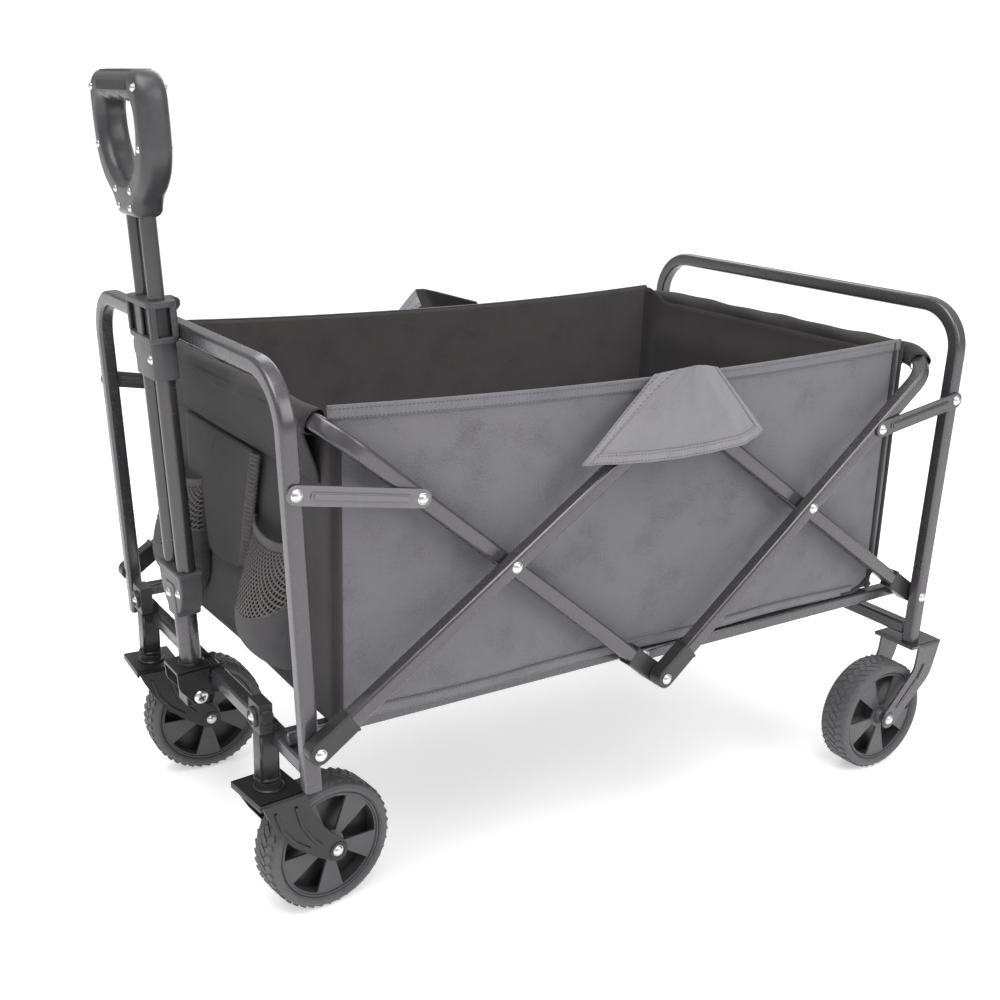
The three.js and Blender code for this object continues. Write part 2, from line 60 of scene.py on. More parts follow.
def node_chain(owner, last="Principled BSDF"):
    """The owner's last node, what feeds a node's sockets, a maker of nodes, and a maker of sums."""
    owner.use_nodes = True
    tree = owner.node_tree

    def feed(target, inputs):
        for key, value in dict(inputs).items():
            if isinstance(value, bpy.types.NodeSocket):
                tree.links.new(value, target.inputs[key])
            else:
                target.inputs[key].default_value = value

    def node(kind, inputs=(), **settings):
        made = tree.nodes.new("ShaderNode" + kind)
        for key, value in settings.items():
            setattr(made, key, value)
        feed(made, inputs)
        return made

    def maths(operation, *values):
        return node("Math", dict(enumerate(values)), operation=operation).outputs[0]

    return tree.nodes[last], feed, node, maths


floor_mesh = bmesh.new()
bmesh.ops.create_grid(floor_mesh, x_segments=1, y_segments=1, size=FLOOR_SIZE)
floor_data = bpy.data.meshes.new("studio_floor")
floor_mesh.to_mesh(floor_data)
floor_mesh.free()
studio_floor = bpy.data.objects.new("studio_floor", floor_data)
scene.collection.objects.link(studio_floor)
floor_paint = bpy.data.materials.new("pale_floor")
shader, feed, _, _ = node_chain(floor_paint)
feed(shader, {"Base Color": FLOOR_PALE, "Roughness": FLOOR_ROUGH, "Emission Color": WHITE,
              "Emission Strength": FLOOR_GLOW})
floor_data.materials.append(floor_paint)

room = bpy.data.worlds.new("white_room")
walls, feed, node, _ = node_chain(room, "Background")
height = node("SeparateXYZ", {0: node("TexCoord").outputs["Generated"]}).outputs["Z"]
soft_sky = node("MapRange", {"Value": height, "To Min": SIDE_LIGHT, "To Max": SKY_LIGHT}).outputs["Result"]
seen = node("LightPath").outputs["Is Camera Ray"]
glow = node("MapRange", {"Value": seen, "To Min": soft_sky, "To Max": BACKDROP}).outputs["Result"]
feed(walls, {"Color": WHITE, "Strength": glow})
scene.world = room
scene.view_settings.view_transform = "Standard"


def lamp(name, at, size, power):
    light = bpy.data.lights.new(name, "AREA")
    light.size, light.energy = size, power
    lamp_object = bpy.data.objects.new(name, light)
    aim = LAMP_AIM - Vector(at)
    lamp_object.matrix_world = Matrix.Translation(at) @ aim.to_track_quat("-Z", "Y").to_matrix().to_4x4()
    scene.collection.objects.link(lamp_object)


lamp("lamp_over_handle", (0.9, 0.8, 2.9), 2.0, 60)
lamp("lamp_left_side", (-1.2, 2.6, 1.9), 1.8, 32)
lamp("lamp_behind", (-1.4, -2.0, 2.2), 1.8, 24)

heading = Vector((sin(TURN) * cos(DIP), -cos(TURN) * cos(DIP), -sin(DIP)))
level = heading.cross(Vector((0, 0, 1))).normalized()
rise = level.cross(heading)
right = cos(TILT) * level + sin(TILT) * rise
above = cos(TILT) * rise - sin(TILT) * level
camera = bpy.data.objects.new("camera", bpy.data.cameras.new("camera"))
camera.data.sensor_width, camera.data.lens = SENSOR, LENS
camera.matrix_world = Matrix.Translation(EYE) @ Matrix((right, above, -heading)).transposed().to_4x4()
scene.collection.objects.link(camera)
scene.camera = camera

# ---- Hoops and crossbars ----
# Each end of the wagon stands on one hoop of 16 mm square steel tube with rounded corners, bent
# cold at the top and powder coated dark grey. A crossbar of the same tube is welded between the legs.
MIDDLE = -0.015
TUBE, TUBE_CORNER = 0.016, 0.0036
IN_LAYER, OUT_LAYER = 0.242, 0.259
HOOP_BEND = 0.05
HOOPS = {
    "front": (IN_LAYER, MIDDLE + 0.394, 0.178, MIDDLE + 0.4143, 0.56),
    "rear": (OUT_LAYER, MIDDLE - 0.3966, 0.1583, MIDDLE - 0.4119, 0.563),
}
CROSSBARS = {"front": (MIDDLE + 0.394, 0.1985, 0.2338), "rear": (MIDDLE - 0.397, 0.174, 0.2508)}


WEAR, WEAR_POLISH, WEAR_DULL, GRAIN_DEEP = (0.12, 0.42), 0.07, 0.09, 0.0006
BEND_STEPS, SHARP = 12, radians(28)


def two_tone(node, value, low, high, colour, spread):
    """The colour made a little darker where the value is low and a little lighter where it is high."""
    ramp = node("ValToRGB", {"Fac": value})
    for stop, position, share in zip(ramp.color_ramp.elements, (low, high), (1 - spread, 1 + spread)):
        stop.position, stop.color = position, (*[c * share for c in colour], 1)
    return ramp.outputs["Color"]


def coated(name, colour, roughness, metallic=0.0, grain=900.0, depth=0.05, scuffs=0.12):
    """A coated or moulded finish: fine grain, faint cloudy wear, and scuffs that polish or dull it."""
    material = bpy.data.materials.new(name)
    shader, feed, node, maths = node_chain(material)
    place = node("TexCoord").outputs["Object"]
    clouds = node("TexNoise", {"Vector": place, "Scale": 14.0, "Detail": 6.0, "Roughness": 0.6})
    marks = node("TexNoise", {"Vector": place, "Scale": 140.0, "Detail": 3.0, "Roughness": 0.7})
    fine = node("TexNoise", {"Vector": place, "Scale": grain, "Detail": 2.0})
    worn = maths("MULTIPLY", clouds.outputs["Fac"], marks.outputs["Fac"])
    gloss = node("MapRange", {"Value": worn, "From Min": WEAR[0], "From Max": WEAR[1],
                              "To Min": roughness - WEAR_POLISH, "To Max": roughness + WEAR_DULL})
    bump = node("Bump", {"Height": fine.outputs["Fac"], "Strength": depth, "Distance": GRAIN_DEEP})
    feed(shader, {"Base Color": two_tone(node, worn, *WEAR, colour, scuffs), "Metallic": metallic,
                  "Roughness": gloss.outputs["Result"], "Normal": bump.outputs["Normal"]})
    return material


frame_coat = coated("powder_coated_steel", (0.1, 0.096, 0.102), 0.25, metallic=0.6, grain=1400,
                    depth=0.02, scuffs=0.07)


def of_kind(kind, items):
    return [item for item in items if isinstance(item, getattr(bmesh.types, kind))]


def tube(bm, route, bend=0.0, size=TUBE, corner=TUBE_CORNER, side=(0, 1, 0)):
    """A rounded square tube on a route: its section is pushed down the straights and spun round the bends."""
    route = [Vector(point) for point in route]
    along = (route[1] - route[0]).normalized()
    across = (Vector(side) - along * along.dot(Vector(side))).normalized()
    turned = Matrix((across, along.cross(across), along)).transposed().to_4x4()
    before = set(bm.edges)
    section = bmesh.ops.create_grid(bm, x_segments=1, y_segments=1, size=size / 2)["verts"]
    bmesh.ops.transform(bm, matrix=Matrix.Translation(route[0]) @ turned, verts=section)
    bmesh.ops.bevel(bm, geom=section, offset=corner, segments=3, profile=0.5, affect="VERTICES", material=-1)
    ring = [edge for edge in bm.edges if edge not in before]
    here = route[0]
    for i in range(1, len(route)):
        stop = route[i]
        if i < len(route) - 1:
            onward = (route[i + 1] - route[i]).normalized()
            angle = along.angle(onward)
            stop = route[i] - along * bend * tan(angle / 2)
        made = bmesh.ops.extrude_edge_only(bm, edges=ring)["geom"]
        ring = of_kind("BMEdge", made)
        moved = of_kind("BMVert", made)
        bmesh.ops.translate(bm, verts=moved, vec=stop - here)
        if i < len(route) - 1:
            axis = along.cross(onward).normalized()
            centre = stop + axis.cross(along) * bend
            spun = bmesh.ops.spin(bm, geom=moved + ring, cent=centre, axis=axis, angle=angle,
                                  steps=BEND_STEPS, use_merge=False, use_duplicate=False)["geom_last"]
            ring = of_kind("BMEdge", spun)
            here = route[i] + onward * bend * tan(angle / 2)
            along = onward
    bmesh.ops.contextual_create(bm, geom=ring)
    return bm


def finished(name, bm, materials, body, stands_for=(), ease=0.0, closed=True, place=None):
    """One piece of the wagon: put in its place, smooth faces turned outwards, riding on its body."""
    materials = materials if isinstance(materials, list) else [materials]
    if place:
        bm.transform(place)
    if closed:
        bmesh.ops.recalc_face_normals(bm, faces=bm.faces)
    for face in bm.faces:
        face.smooth = True
    mesh = bpy.data.meshes.new(name)
    bm.to_mesh(mesh)
    bm.free()
    for material in materials:
        mesh.materials.append(material)
    made = bpy.data.objects.new(name, mesh)
    scene.collection.objects.link(made)
    if ease:
        rounding = made.modifiers.new("eased_edges", "BEVEL")
        rounding.width, rounding.segments, rounding.limit_method = ease, 2, "ANGLE"
        rounding.angle_limit, rounding.harden_normals = SHARP, True
    elif closed:
        made.modifiers.new("even_shading", "WEIGHTED_NORMAL")
    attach(made, body)
    if stands_for:
        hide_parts(*stands_for)
    return made


for end, (half, low_x, low_z, top_x, top_z) in HOOPS.items():
    hoop = [(low_x, -half, low_z), (top_x, -half, top_z), (top_x, half, top_z), (low_x, half, low_z)]
    hoop_mesh = tube(bmesh.new(), hoop, HOOP_BEND)
    finished(f"{end}_hoop_tube", hoop_mesh, frame_coat, f"{end}_frame", [f"{end}_hoop"])
    bar_x, bar_z, reach = CROSSBARS[end]
    bar_mesh = tube(bmesh.new(), [(bar_x, -reach, bar_z), (bar_x, reach, bar_z)], side=(1, 0, 0))
    finished(f"{end}_crossbar_tube", bar_mesh, frame_coat, f"{end}_frame", [f"{end}_crossbar"])

# ---- Scissor bars and braces ----
# Two single bars a side run up to the top middle joint, and two U-shaped braces run from the low
# middle joint to carry the cloth. Moulded boots close the ends that turn on a foot joint.
FOOT = {"front": Vector((MIDDLE + 0.396, 0, 0.224)), "rear": Vector((MIDDLE - 0.398, 0, 0.218))}
TOP_JOINT = {"front": Vector((MIDDLE, 0, 0.4959)), "rear": Vector((MIDDLE, 0, 0.4975))}
LOW_JOINT = Vector((MIDDLE, 0, 0.2041))
CROSSING = {"front": Vector((MIDDLE + 0.1937, 0, 0.3629)), "rear": Vector((MIDDLE - 0.1937, 0, 0.3615))}
BOOT_LENGTH, BOOT_WIDTH, BOOT_THICK, BOOT_LIP = 0.041, 0.0216, 0.0166, 0.0003
TUBE_FROM, TUBE_PAST = BOOT_LENGTH - 0.004, 0.008
BRACE_LENGTH, BRACE_BEND = 0.484, 0.042
ON_SIDE = Matrix.Rotation(radians(90), 4, "X")
ROUND_END = 0.98
SIDES = (("left", 1), ("right", -1))

boot_plastic = coated("black_moulding", (0.024, 0.023, 0.024), 0.38, grain=700, depth=0.1)


def slab(bm, outline, thick, place):
    """A flat outline of (x, y) or (x, y, rounding) corners, made thick about its own plane and placed."""
    corners = [bm.verts.new((point[0], point[1], -thick / 2)) for point in outline]
    before = set(bm.faces)
    bm.faces.new(corners)
    for corner, point in zip(corners, outline):
        if len(point) > 2:
            bmesh.ops.bevel(bm, geom=[corner], offset=point[2], segments=5, profile=0.5, affect="VERTICES",
                            material=-1)
    face = [item for item in bm.faces if item not in before]
    made = bmesh.ops.extrude_face_region(bm, geom=face)["geom"]
    lifted = of_kind("BMVert", made)
    bmesh.ops.translate(bm, verts=lifted, vec=(0, 0, thick))
    both = lifted + [vert for item in face for vert in item.verts]
    bmesh.ops.transform(bm, matrix=place, verts=both)
    return bm


def rectangle(low_x, low_y, high_x, high_y, *rounding):
    corners = (low_x, low_y), (high_x, low_y), (high_x, high_y), (low_x, high_y)
    return [(*corner, *rounding) for corner in corners]


def beside(point, y, towards):
    """A place on a side of the wagon at a point's height, its length aimed at another point."""
    aim = Matrix.Rotation(atan2(point.z - towards.z, towards.x - point.x), 4, "Y")
    return Matrix.Translation((point.x, y, point.z)) @ aim @ ON_SIDE


def boot(bm, pivot, towards, y):
    """A boot: a round-ended sleeve about the joint, with a low lip where the tube goes in."""
    place, half, edge = beside(pivot, y, towards), BOOT_WIDTH / 2, BOOT_WIDTH / 2 + BOOT_LIP
    slab(bm, [(-half, -half, half * ROUND_END), (BOOT_LENGTH, -half + 0.0008), (BOOT_LENGTH, half - 0.0008),
              (-half, half, half * ROUND_END)], BOOT_THICK, place)
    slab(bm, rectangle(BOOT_LENGTH - 0.003, -edge, BOOT_LENGTH + 0.0006, edge), BOOT_THICK + BOOT_LIP, place)


for end, layer in (("front", OUT_LAYER), ("rear", IN_LAYER)):
    reach = (TOP_JOINT[end] - FOOT[end]).normalized()
    for side, sign in SIDES:
        lift = Vector((0, sign * layer, 0))
        start, stop = FOOT[end] + reach * TUBE_FROM, TOP_JOINT[end] + reach * TUBE_PAST
        bar_mesh = tube(bmesh.new(), [start + lift, stop + lift])
        finished(f"{end}_bar_tube_{side}", bar_mesh, frame_coat, f"{end}_bar_{side}", [f"{end}_bar_{side}"])
        boot_mesh = bmesh.new()
        boot(boot_mesh, FOOT[end], TOP_JOINT[end], sign * layer)
        finished(f"{end}_bar_boot_{side}", boot_mesh, boot_plastic, f"{end}_bar_{side}",
                 [f"{end}_bar_cap_{side}"], ease=0.0016)

for end, layer in (("front", IN_LAYER), ("rear", OUT_LAYER)):
    reach = (CROSSING[end] - LOW_JOINT).normalized()
    foot, head = LOW_JOINT + reach * TUBE_FROM, LOW_JOINT + reach * BRACE_LENGTH
    lift = Vector((0, layer, 0))
    brace_mesh = tube(bmesh.new(), [foot - lift, head - lift, head + lift, foot + lift], BRACE_BEND)
    finished(f"{end}_brace_tube", brace_mesh, frame_coat, f"{end}_brace", [f"{end}_brace"])
    boot_mesh = bmesh.new()
    for y in (layer, -layer):
        boot(boot_mesh, LOW_JOINT, CROSSING[end], y)
    finished(f"{end}_brace_boots", boot_mesh, boot_plastic, f"{end}_brace", ease=0.0016)

# ---- Links ----
# A pressed steel strap on each side ties a hoop's leg to its brace. Each has round ends and a long
# rib pressed outwards along the middle for stiffness.
LINK_HALF, LINK_THICK = 0.009, 0.0024
link_coat = coated("link_coat", (0.15, 0.146, 0.153), 0.34, metallic=0.45, grain=1300,
                   depth=0.03, scuffs=0.08)
LINK_ENDS = {
    "front": (Vector((MIDDLE + 0.408, 0.252, 0.46)), Vector((MIDDLE + 0.2874, 0.252, 0.4396))),
    "rear": (Vector((MIDDLE - 0.408, 0.269, 0.46)), Vector((MIDDLE - 0.2874, 0.269, 0.4396))),
}


def strap(bm, start, stop, half, thick, y):
    slab(bm, rectangle(-half, -half, (stop - start).length + half, half, half * ROUND_END), thick,
         beside(start, y, stop))


for end, (start, stop) in LINK_ENDS.items():
    for side, sign in SIDES:
        link_mesh = bmesh.new()
        y = sign * start.y
        strap(link_mesh, start, stop, LINK_HALF, LINK_THICK, y)
        inset = (stop - start).normalized() * 0.016
        strap(link_mesh, start + inset, stop - inset, 0.0038, LINK_THICK + 0.0026, y)
        strap(link_mesh, start + inset * 1.08, stop - inset * 1.08, 0.0026, LINK_THICK + 0.0046, y)
        finished(f"{end}_link_strap_{side}", link_mesh,
                 link_coat if end == "front" else frame_coat, f"{end}_link_{side}",
                 [f"{end}_link_{side}"], ease=0.0009)

# ---- Rivets ----
# Zinc-plated rivets with low domed heads hold every joint of the frame, each on a thin washer
# pressed against the steel.
zinc = coated("bright_zinc", (0.66, 0.65, 0.64), 0.3, metallic=1.0, grain=500, depth=0.1, scuffs=0.14)


def turn(bm, profile, centre=(0, 0, 0), axis=(0, 1, 0), steps=28):
    """Spins a profile of (radius, distance along) points a full turn about an axis."""
    axis = Vector(axis).normalized()
    out = axis.orthogonal().normalized()
    points = [Vector(centre) + out * radius + axis * along for radius, along in profile]
    verts = [bm.verts.new(point) for point in points]
    edges = [bm.edges.new(pair) for pair in zip(verts, verts[1:])]
    before = set(bm.verts) - set(verts)
    bmesh.ops.spin(bm, geom=verts + edges, cent=Vector(centre), axis=axis, angle=2 * pi, steps=steps,
                   use_merge=True, use_duplicate=False)
    made = [vert for vert in bm.verts if vert not in before]
    bmesh.ops.remove_doubles(bm, verts=made, dist=1e-6)
    return bm


def rivet(bm, at, axis, r=0.0048):
    """A low domed head of radius r on its washer, standing out along an axis."""
    turn(bm, [(0, -0.0006), (r + 0.001, -0.0006), (r + 0.0009, 0.0003), (r + 0.0003, 0.0005), (r, 0.0004),
              (r * 0.97, 0.0011), (r * 0.84, 0.0019), (r * 0.6, 0.0026), (r * 0.3, 0.003), (0, 0.0031)],
         at, axis)


def rivets(name, body, spots, r=0.0048, place=None):
    """The rivets on one part, each at a spot and facing along an axis."""
    rivet_mesh = bmesh.new()
    for at, axis in spots:
        rivet(rivet_mesh, at, axis, r)
    finished(name, rivet_mesh, zinc, body, place=place)


ON_BOOT, ON_TUBE = OUT_LAYER + 0.0086, OUT_LAYER + 0.008
RIVET_SETS = {
    "front_bar": [(FOOT["front"], ON_BOOT), (CROSSING["front"], ON_TUBE)],
    "rear_brace": [(LOW_JOINT, ON_BOOT), (CROSSING["rear"], ON_TUBE)],
    "rear_frame": [(FOOT["rear"], ON_TUBE)],
    "floor_frame_rear": [(Vector((MIDDLE, 0, 0.2165)), 0.23)],
}
for body, places in RIVET_SETS.items():
    spots = {side: [((point.x, sign * y, point.z), (0, sign, 0)) for point, y in places]
             for side, sign in SIDES}
    if body == "front_bar":
        for side in spots:
            rivets(f"{body}_rivets_{side}", f"{body}_{side}", spots[side])
    else:
        rivets(f"{body}_rivets", body, spots["left"] + spots["right"])
for end, ends in LINK_ENDS.items():
    for side, sign in SIDES:
        rivets(f"{end}_link_rivets_{side}", f"{end}_link_{side}",
               [((point.x, sign * (point.y + LINK_THICK / 2), point.z), (0, sign, 0)) for point in ends])

# ---- Floor frame ----
# Two halves of 14 mm tube lie under the cloth: each is a pair of rails with one cross tie, hinged
# at its hoop's feet and joined to the other half in the middle.
RAIL, RAIL_Z, RAIL_OVERLAP, TIE_FROM_PIVOT = 0.014, 0.2165, 0.012, 0.25
for end, rail_y, direction in (("front", 0.2075, -1), ("rear", 0.223, 1)):
    pivot_x = FOOT[end].x
    rail_mesh = bmesh.new()
    for y in (rail_y, -rail_y):
        tube(rail_mesh, [(pivot_x - direction * 0.006, y, RAIL_Z),
                         (MIDDLE + direction * RAIL_OVERLAP, y, RAIL_Z)], size=RAIL, corner=0.003)
    tie_x = pivot_x + direction * TIE_FROM_PIVOT
    tube(rail_mesh, [(tie_x, -rail_y, RAIL_Z), (tie_x, rail_y, RAIL_Z)], size=RAIL - 0.002, corner=0.0028,
         side=(1, 0, 0))
    finished(f"floor_rails_{end}", rail_mesh, frame_coat, f"floor_frame_{end}", [f"floor_frame_{end}"])

# ---- Cloth bag ----
# The bag is coarse polyester cloth: grey sides with a black lining, black ends that wrap round the
# corners, a hem along the rim and the bottom, and black piping down the rear corners.
BAG_FRONT, BAG_REAR, BAG_HALF, BAG_LOW, BAG_HIGH = 0.348, -0.367, 0.2275, 0.228, 0.517
SIDE_FRONT, TOP_CORNER, TOP_CORNER_FROM = BAG_FRONT - 0.005, 0.009, 0.48
REAR_CORNER = 0.042
MOTTLE, WEAVE_DEEP = (0.7, 1.3), 0.0005
STITCH_WIDE, STITCH_LONG, STITCH_GAP, STITCH_DARK = 0.001, 0.0042, -0.45, 0.62


def woven(name, colour, thread=0.0017, depth=0.7, mottling=0.2, stitches=()):
    """Plain woven cloth on the piece's own weave map, in metres, with rows of stitches at given heights."""
    material = bpy.data.materials.new(name)
    shader, feed, node, maths = node_chain(material)
    weave = node("UVMap", uv_map="weave").outputs["UV"]
    parts = node("SeparateXYZ", {0: weave}).outputs

    def ridge(value, period):
        return maths("SINE", maths("MULTIPLY", value, 2 * pi / period))

    crossing = maths("MULTIPLY", ridge(parts["X"], thread), ridge(parts["Y"], thread))
    slubs = node("TexNoise", {"Vector": weave, "Scale": 620.0, "Detail": 2.0, "Roughness": 0.6})
    clouds = node("TexNoise", {"Vector": weave, "Scale": 22.0, "Detail": 5.0, "Roughness": 0.62})
    height = maths("ADD", maths("MULTIPLY", crossing, 0.5), slubs.outputs["Fac"])
    tone = maths("ADD", clouds.outputs["Fac"], slubs.outputs["Fac"])
    shown = two_tone(node, tone, *MOTTLE, colour, mottling)
    for row in stitches:
        near = maths("LESS_THAN", maths("ABSOLUTE", maths("SUBTRACT", parts["Y"], row)), STITCH_WIDE / 2)
        dash = maths("GREATER_THAN", ridge(parts["X"], STITCH_LONG), STITCH_GAP)
        stitch = maths("MULTIPLY", near, dash)
        shown = node("Mix", {"Factor": stitch, 6: shown, 7: (*[c * STITCH_DARK for c in colour], 1)},
                     data_type="RGBA").outputs[2]
        height = maths("ADD", height, stitch)
    bump = node("Bump", {"Height": height, "Strength": depth, "Distance": WEAVE_DEEP}).outputs["Normal"]
    feed(shader, {"Base Color": shown, "Normal": bump, "Roughness": 0.88, "Specular IOR Level": 0.25,
                  "Sheen Weight": 0.12, "Sheen Roughness": 0.5})
    return material


grey_cloth = woven("grey_polyester", (0.133, 0.13, 0.139))
black_cloth = woven("black_polyester", (0.029, 0.0262, 0.0262))
lining = woven("black_lining", (0.058, 0.053, 0.053))
grey_hem = woven("grey_hem_tape", (0.142, 0.14, 0.149), thread=0.0013,
                 stitches=(0.0014, 0.0092))
black_hem = woven("black_hem_tape", (0.03, 0.0272, 0.0272), thread=0.0013,
                  stitches=(0.0024, 0.0076))


def cloth(name, flat, grid, shape, outward, materials, body, thick=0.0012, stands_for=()):
    """A sheet cut flat to a width and length, then shaped. Its weave map keeps the flat cut's own metres."""
    width, length = flat
    bm = bmesh.new()
    bmesh.ops.create_grid(bm, x_segments=grid[0], y_segments=grid[1], size=0.5)
    weave = bm.loops.layers.uv.new("weave")
    for face in bm.faces:
        for loop in face.loops:
            loop[weave].uv = ((loop.vert.co.x + 0.5) * width, (loop.vert.co.y + 0.5) * length)
    for vert in bm.verts:
        vert.co = shape(vert.co.x + 0.5, vert.co.y + 0.5)
    bm.normal_update()
    facing = sum((face.normal * face.calc_area() for face in bm.faces), Vector())
    if facing.dot(Vector(outward)) < 0:
        bmesh.ops.reverse_faces(bm, faces=bm.faces)
    made = finished(name, bm, materials, body, stands_for, closed=False)
    wall = made.modifiers.new("cloth_thickness", "SOLIDIFY")
    wall.thickness, wall.offset = thick, -1
    if len(made.data.materials) > 1:
        wall.material_offset, wall.material_offset_rim = 1, 0
    return made


def eased(value):
    value = min(1.0, max(0.0, value))
    return value * value * (3 - 2 * value)


def rim_height(x):
    """The rim hangs a little between its ends."""
    share = (x - MIDDLE) / 0.36
    return BAG_HIGH + (0.008 if share > 0 else 0.011) * share * share


def rear_edge(z):
    """The rear edge stands upright and turns in round the bottom corner."""
    under = max(0.0, min(REAR_CORNER, BAG_LOW + REAR_CORNER - z))
    return BAG_REAR + REAR_CORNER - sqrt(REAR_CORNER**2 - under**2)


def belly(x, z):
    """How far the cloth stands out: a soft belly between its edges, with faint creases."""
    u = (x - BAG_REAR) / (BAG_FRONT - BAG_REAR)
    v = (z - BAG_LOW) / (BAG_HIGH - BAG_LOW)
    bulge = 0.003 * sin(pi * min(1, max(0, u))) * sin(pi * min(1, max(0, v)))
    creases = 0.0007 * sin(31 * x + 9 * z) * sin(17 * z) + 0.0005 * sin(74 * x - 21 * z)
    return bulge + creases * (1 - abs(2 * v - 1) ** 4)


def gather(piece):
    """Gives a piece of cloth its own copy of its mesh data."""
    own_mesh(piece)


for side, sign in SIDES:
    def side_shape(u, v, sign=sign):
        z = BAG_LOW + v * (BAG_HIGH - BAG_LOW)
        start = rear_edge(z)
        x = start + u * (SIDE_FRONT + TOP_CORNER * eased((z - TOP_CORNER_FROM) / 0.025) - start)
        z += v * (rim_height(x) - BAG_HIGH)
        return Vector((x, sign * (BAG_HALF + belly(x, z)), z))

    side_cloth = cloth(f"side_cloth_{side}", (0.7, 0.295), (150, 60), side_shape, (0, sign, 0),
                       [grey_cloth, lining], "bag_front", thick=0.0016,
                       stands_for=[f"side_panel_{side}"])

    def rim_shape(u, v, sign=sign):
        x = BAG_REAR + 0.002 + u * (SIDE_FRONT + 0.0075 - BAG_REAR)
        over = max(0.0, v - 0.8) / 0.2
        z = rim_height(x) - 0.011 + 0.0122 * min(1, v / 0.8) + 0.0004 * sin(pi * over)
        return Vector((x, sign * (BAG_HALF + 0.0014 - 0.0034 * over), z))

    rim_hem = cloth(f"rim_hem_{side}", (0.705, 0.0156), (110, 10), rim_shape, (0, sign, 0.4), grey_hem,
                    "bag_front", thick=0.0006)

    def bottom_shape(u, v, sign=sign):
        x = BAG_REAR + 0.038 + u * (SIDE_FRONT - BAG_REAR - 0.038)
        z = BAG_LOW - 0.0012 + v * 0.0105 + 0.0012 * sin(23 * x)
        return Vector((x, sign * (BAG_HALF + 0.0013 + 0.0006 * sin(pi * v) + belly(x, z)), z))

    bottom_hem = cloth(f"bottom_hem_{side}", (0.665, 0.0105), (110, 6), bottom_shape, (0, sign, 0), grey_hem,
                       "bag_front", thick=0.001)

    piping_mesh = bmesh.new()
    line_y, behind, below = sign * (BAG_HALF + 0.0004), BAG_REAR - 0.0005, BAG_LOW - 0.0003
    tube(piping_mesh, [(behind, line_y, 0.524), (behind, line_y, below), (BAG_REAR + 0.055, line_y, below)],
         REAR_CORNER, size=0.0046, corner=0.0018)
    piping = finished(f"corner_piping_{side}", piping_mesh, black_cloth, "bag_front")

    for piece in (side_cloth, rim_hem, bottom_hem, piping):
        gather(piece)

# ---- Ends of the bag ----
# The black end panels turn the corners on to the sides, where a seam joins them to the grey cloth.
# Above them a double band climbs to a sleeve sewn round the cross tube and bends of each brace.
END_CORNER = {"front": 0.006, "rear": 0.012}
END_WING = {"front": 0.0095, "rear": 0.014}
SLEEVE_REACH = {"front": 0.214, "rear": 0.247}
SLEEVE_RADIUS, BAND_LOW = 0.0112, 0.452
SLEEVE_FROM, SLEEVE_ROUND = radians(-150), radians(320)


def round_corner(run, edge_x, direction, corner, wing):
    """A point along the end's plan line: wing, corner, face, corner, wing, from one side to the other."""
    face = 2 * (BAG_HALF - corner)
    quarter = corner * pi / 2
    straight = wing - corner
    inner = edge_x - direction * corner
    if run < straight:
        return inner - direction * (straight - run), -BAG_HALF
    run -= straight
    if run < quarter:
        angle = run / corner
        return inner + direction * corner * sin(angle), -BAG_HALF + corner * (1 - cos(angle))
    run -= quarter
    if run < face:
        return edge_x, -BAG_HALF + corner + run
    run -= face
    if run < quarter:
        angle = run / corner
        return inner + direction * corner * cos(angle), BAG_HALF - corner * (1 - sin(angle))
    return inner - direction * (run - quarter), BAG_HALF


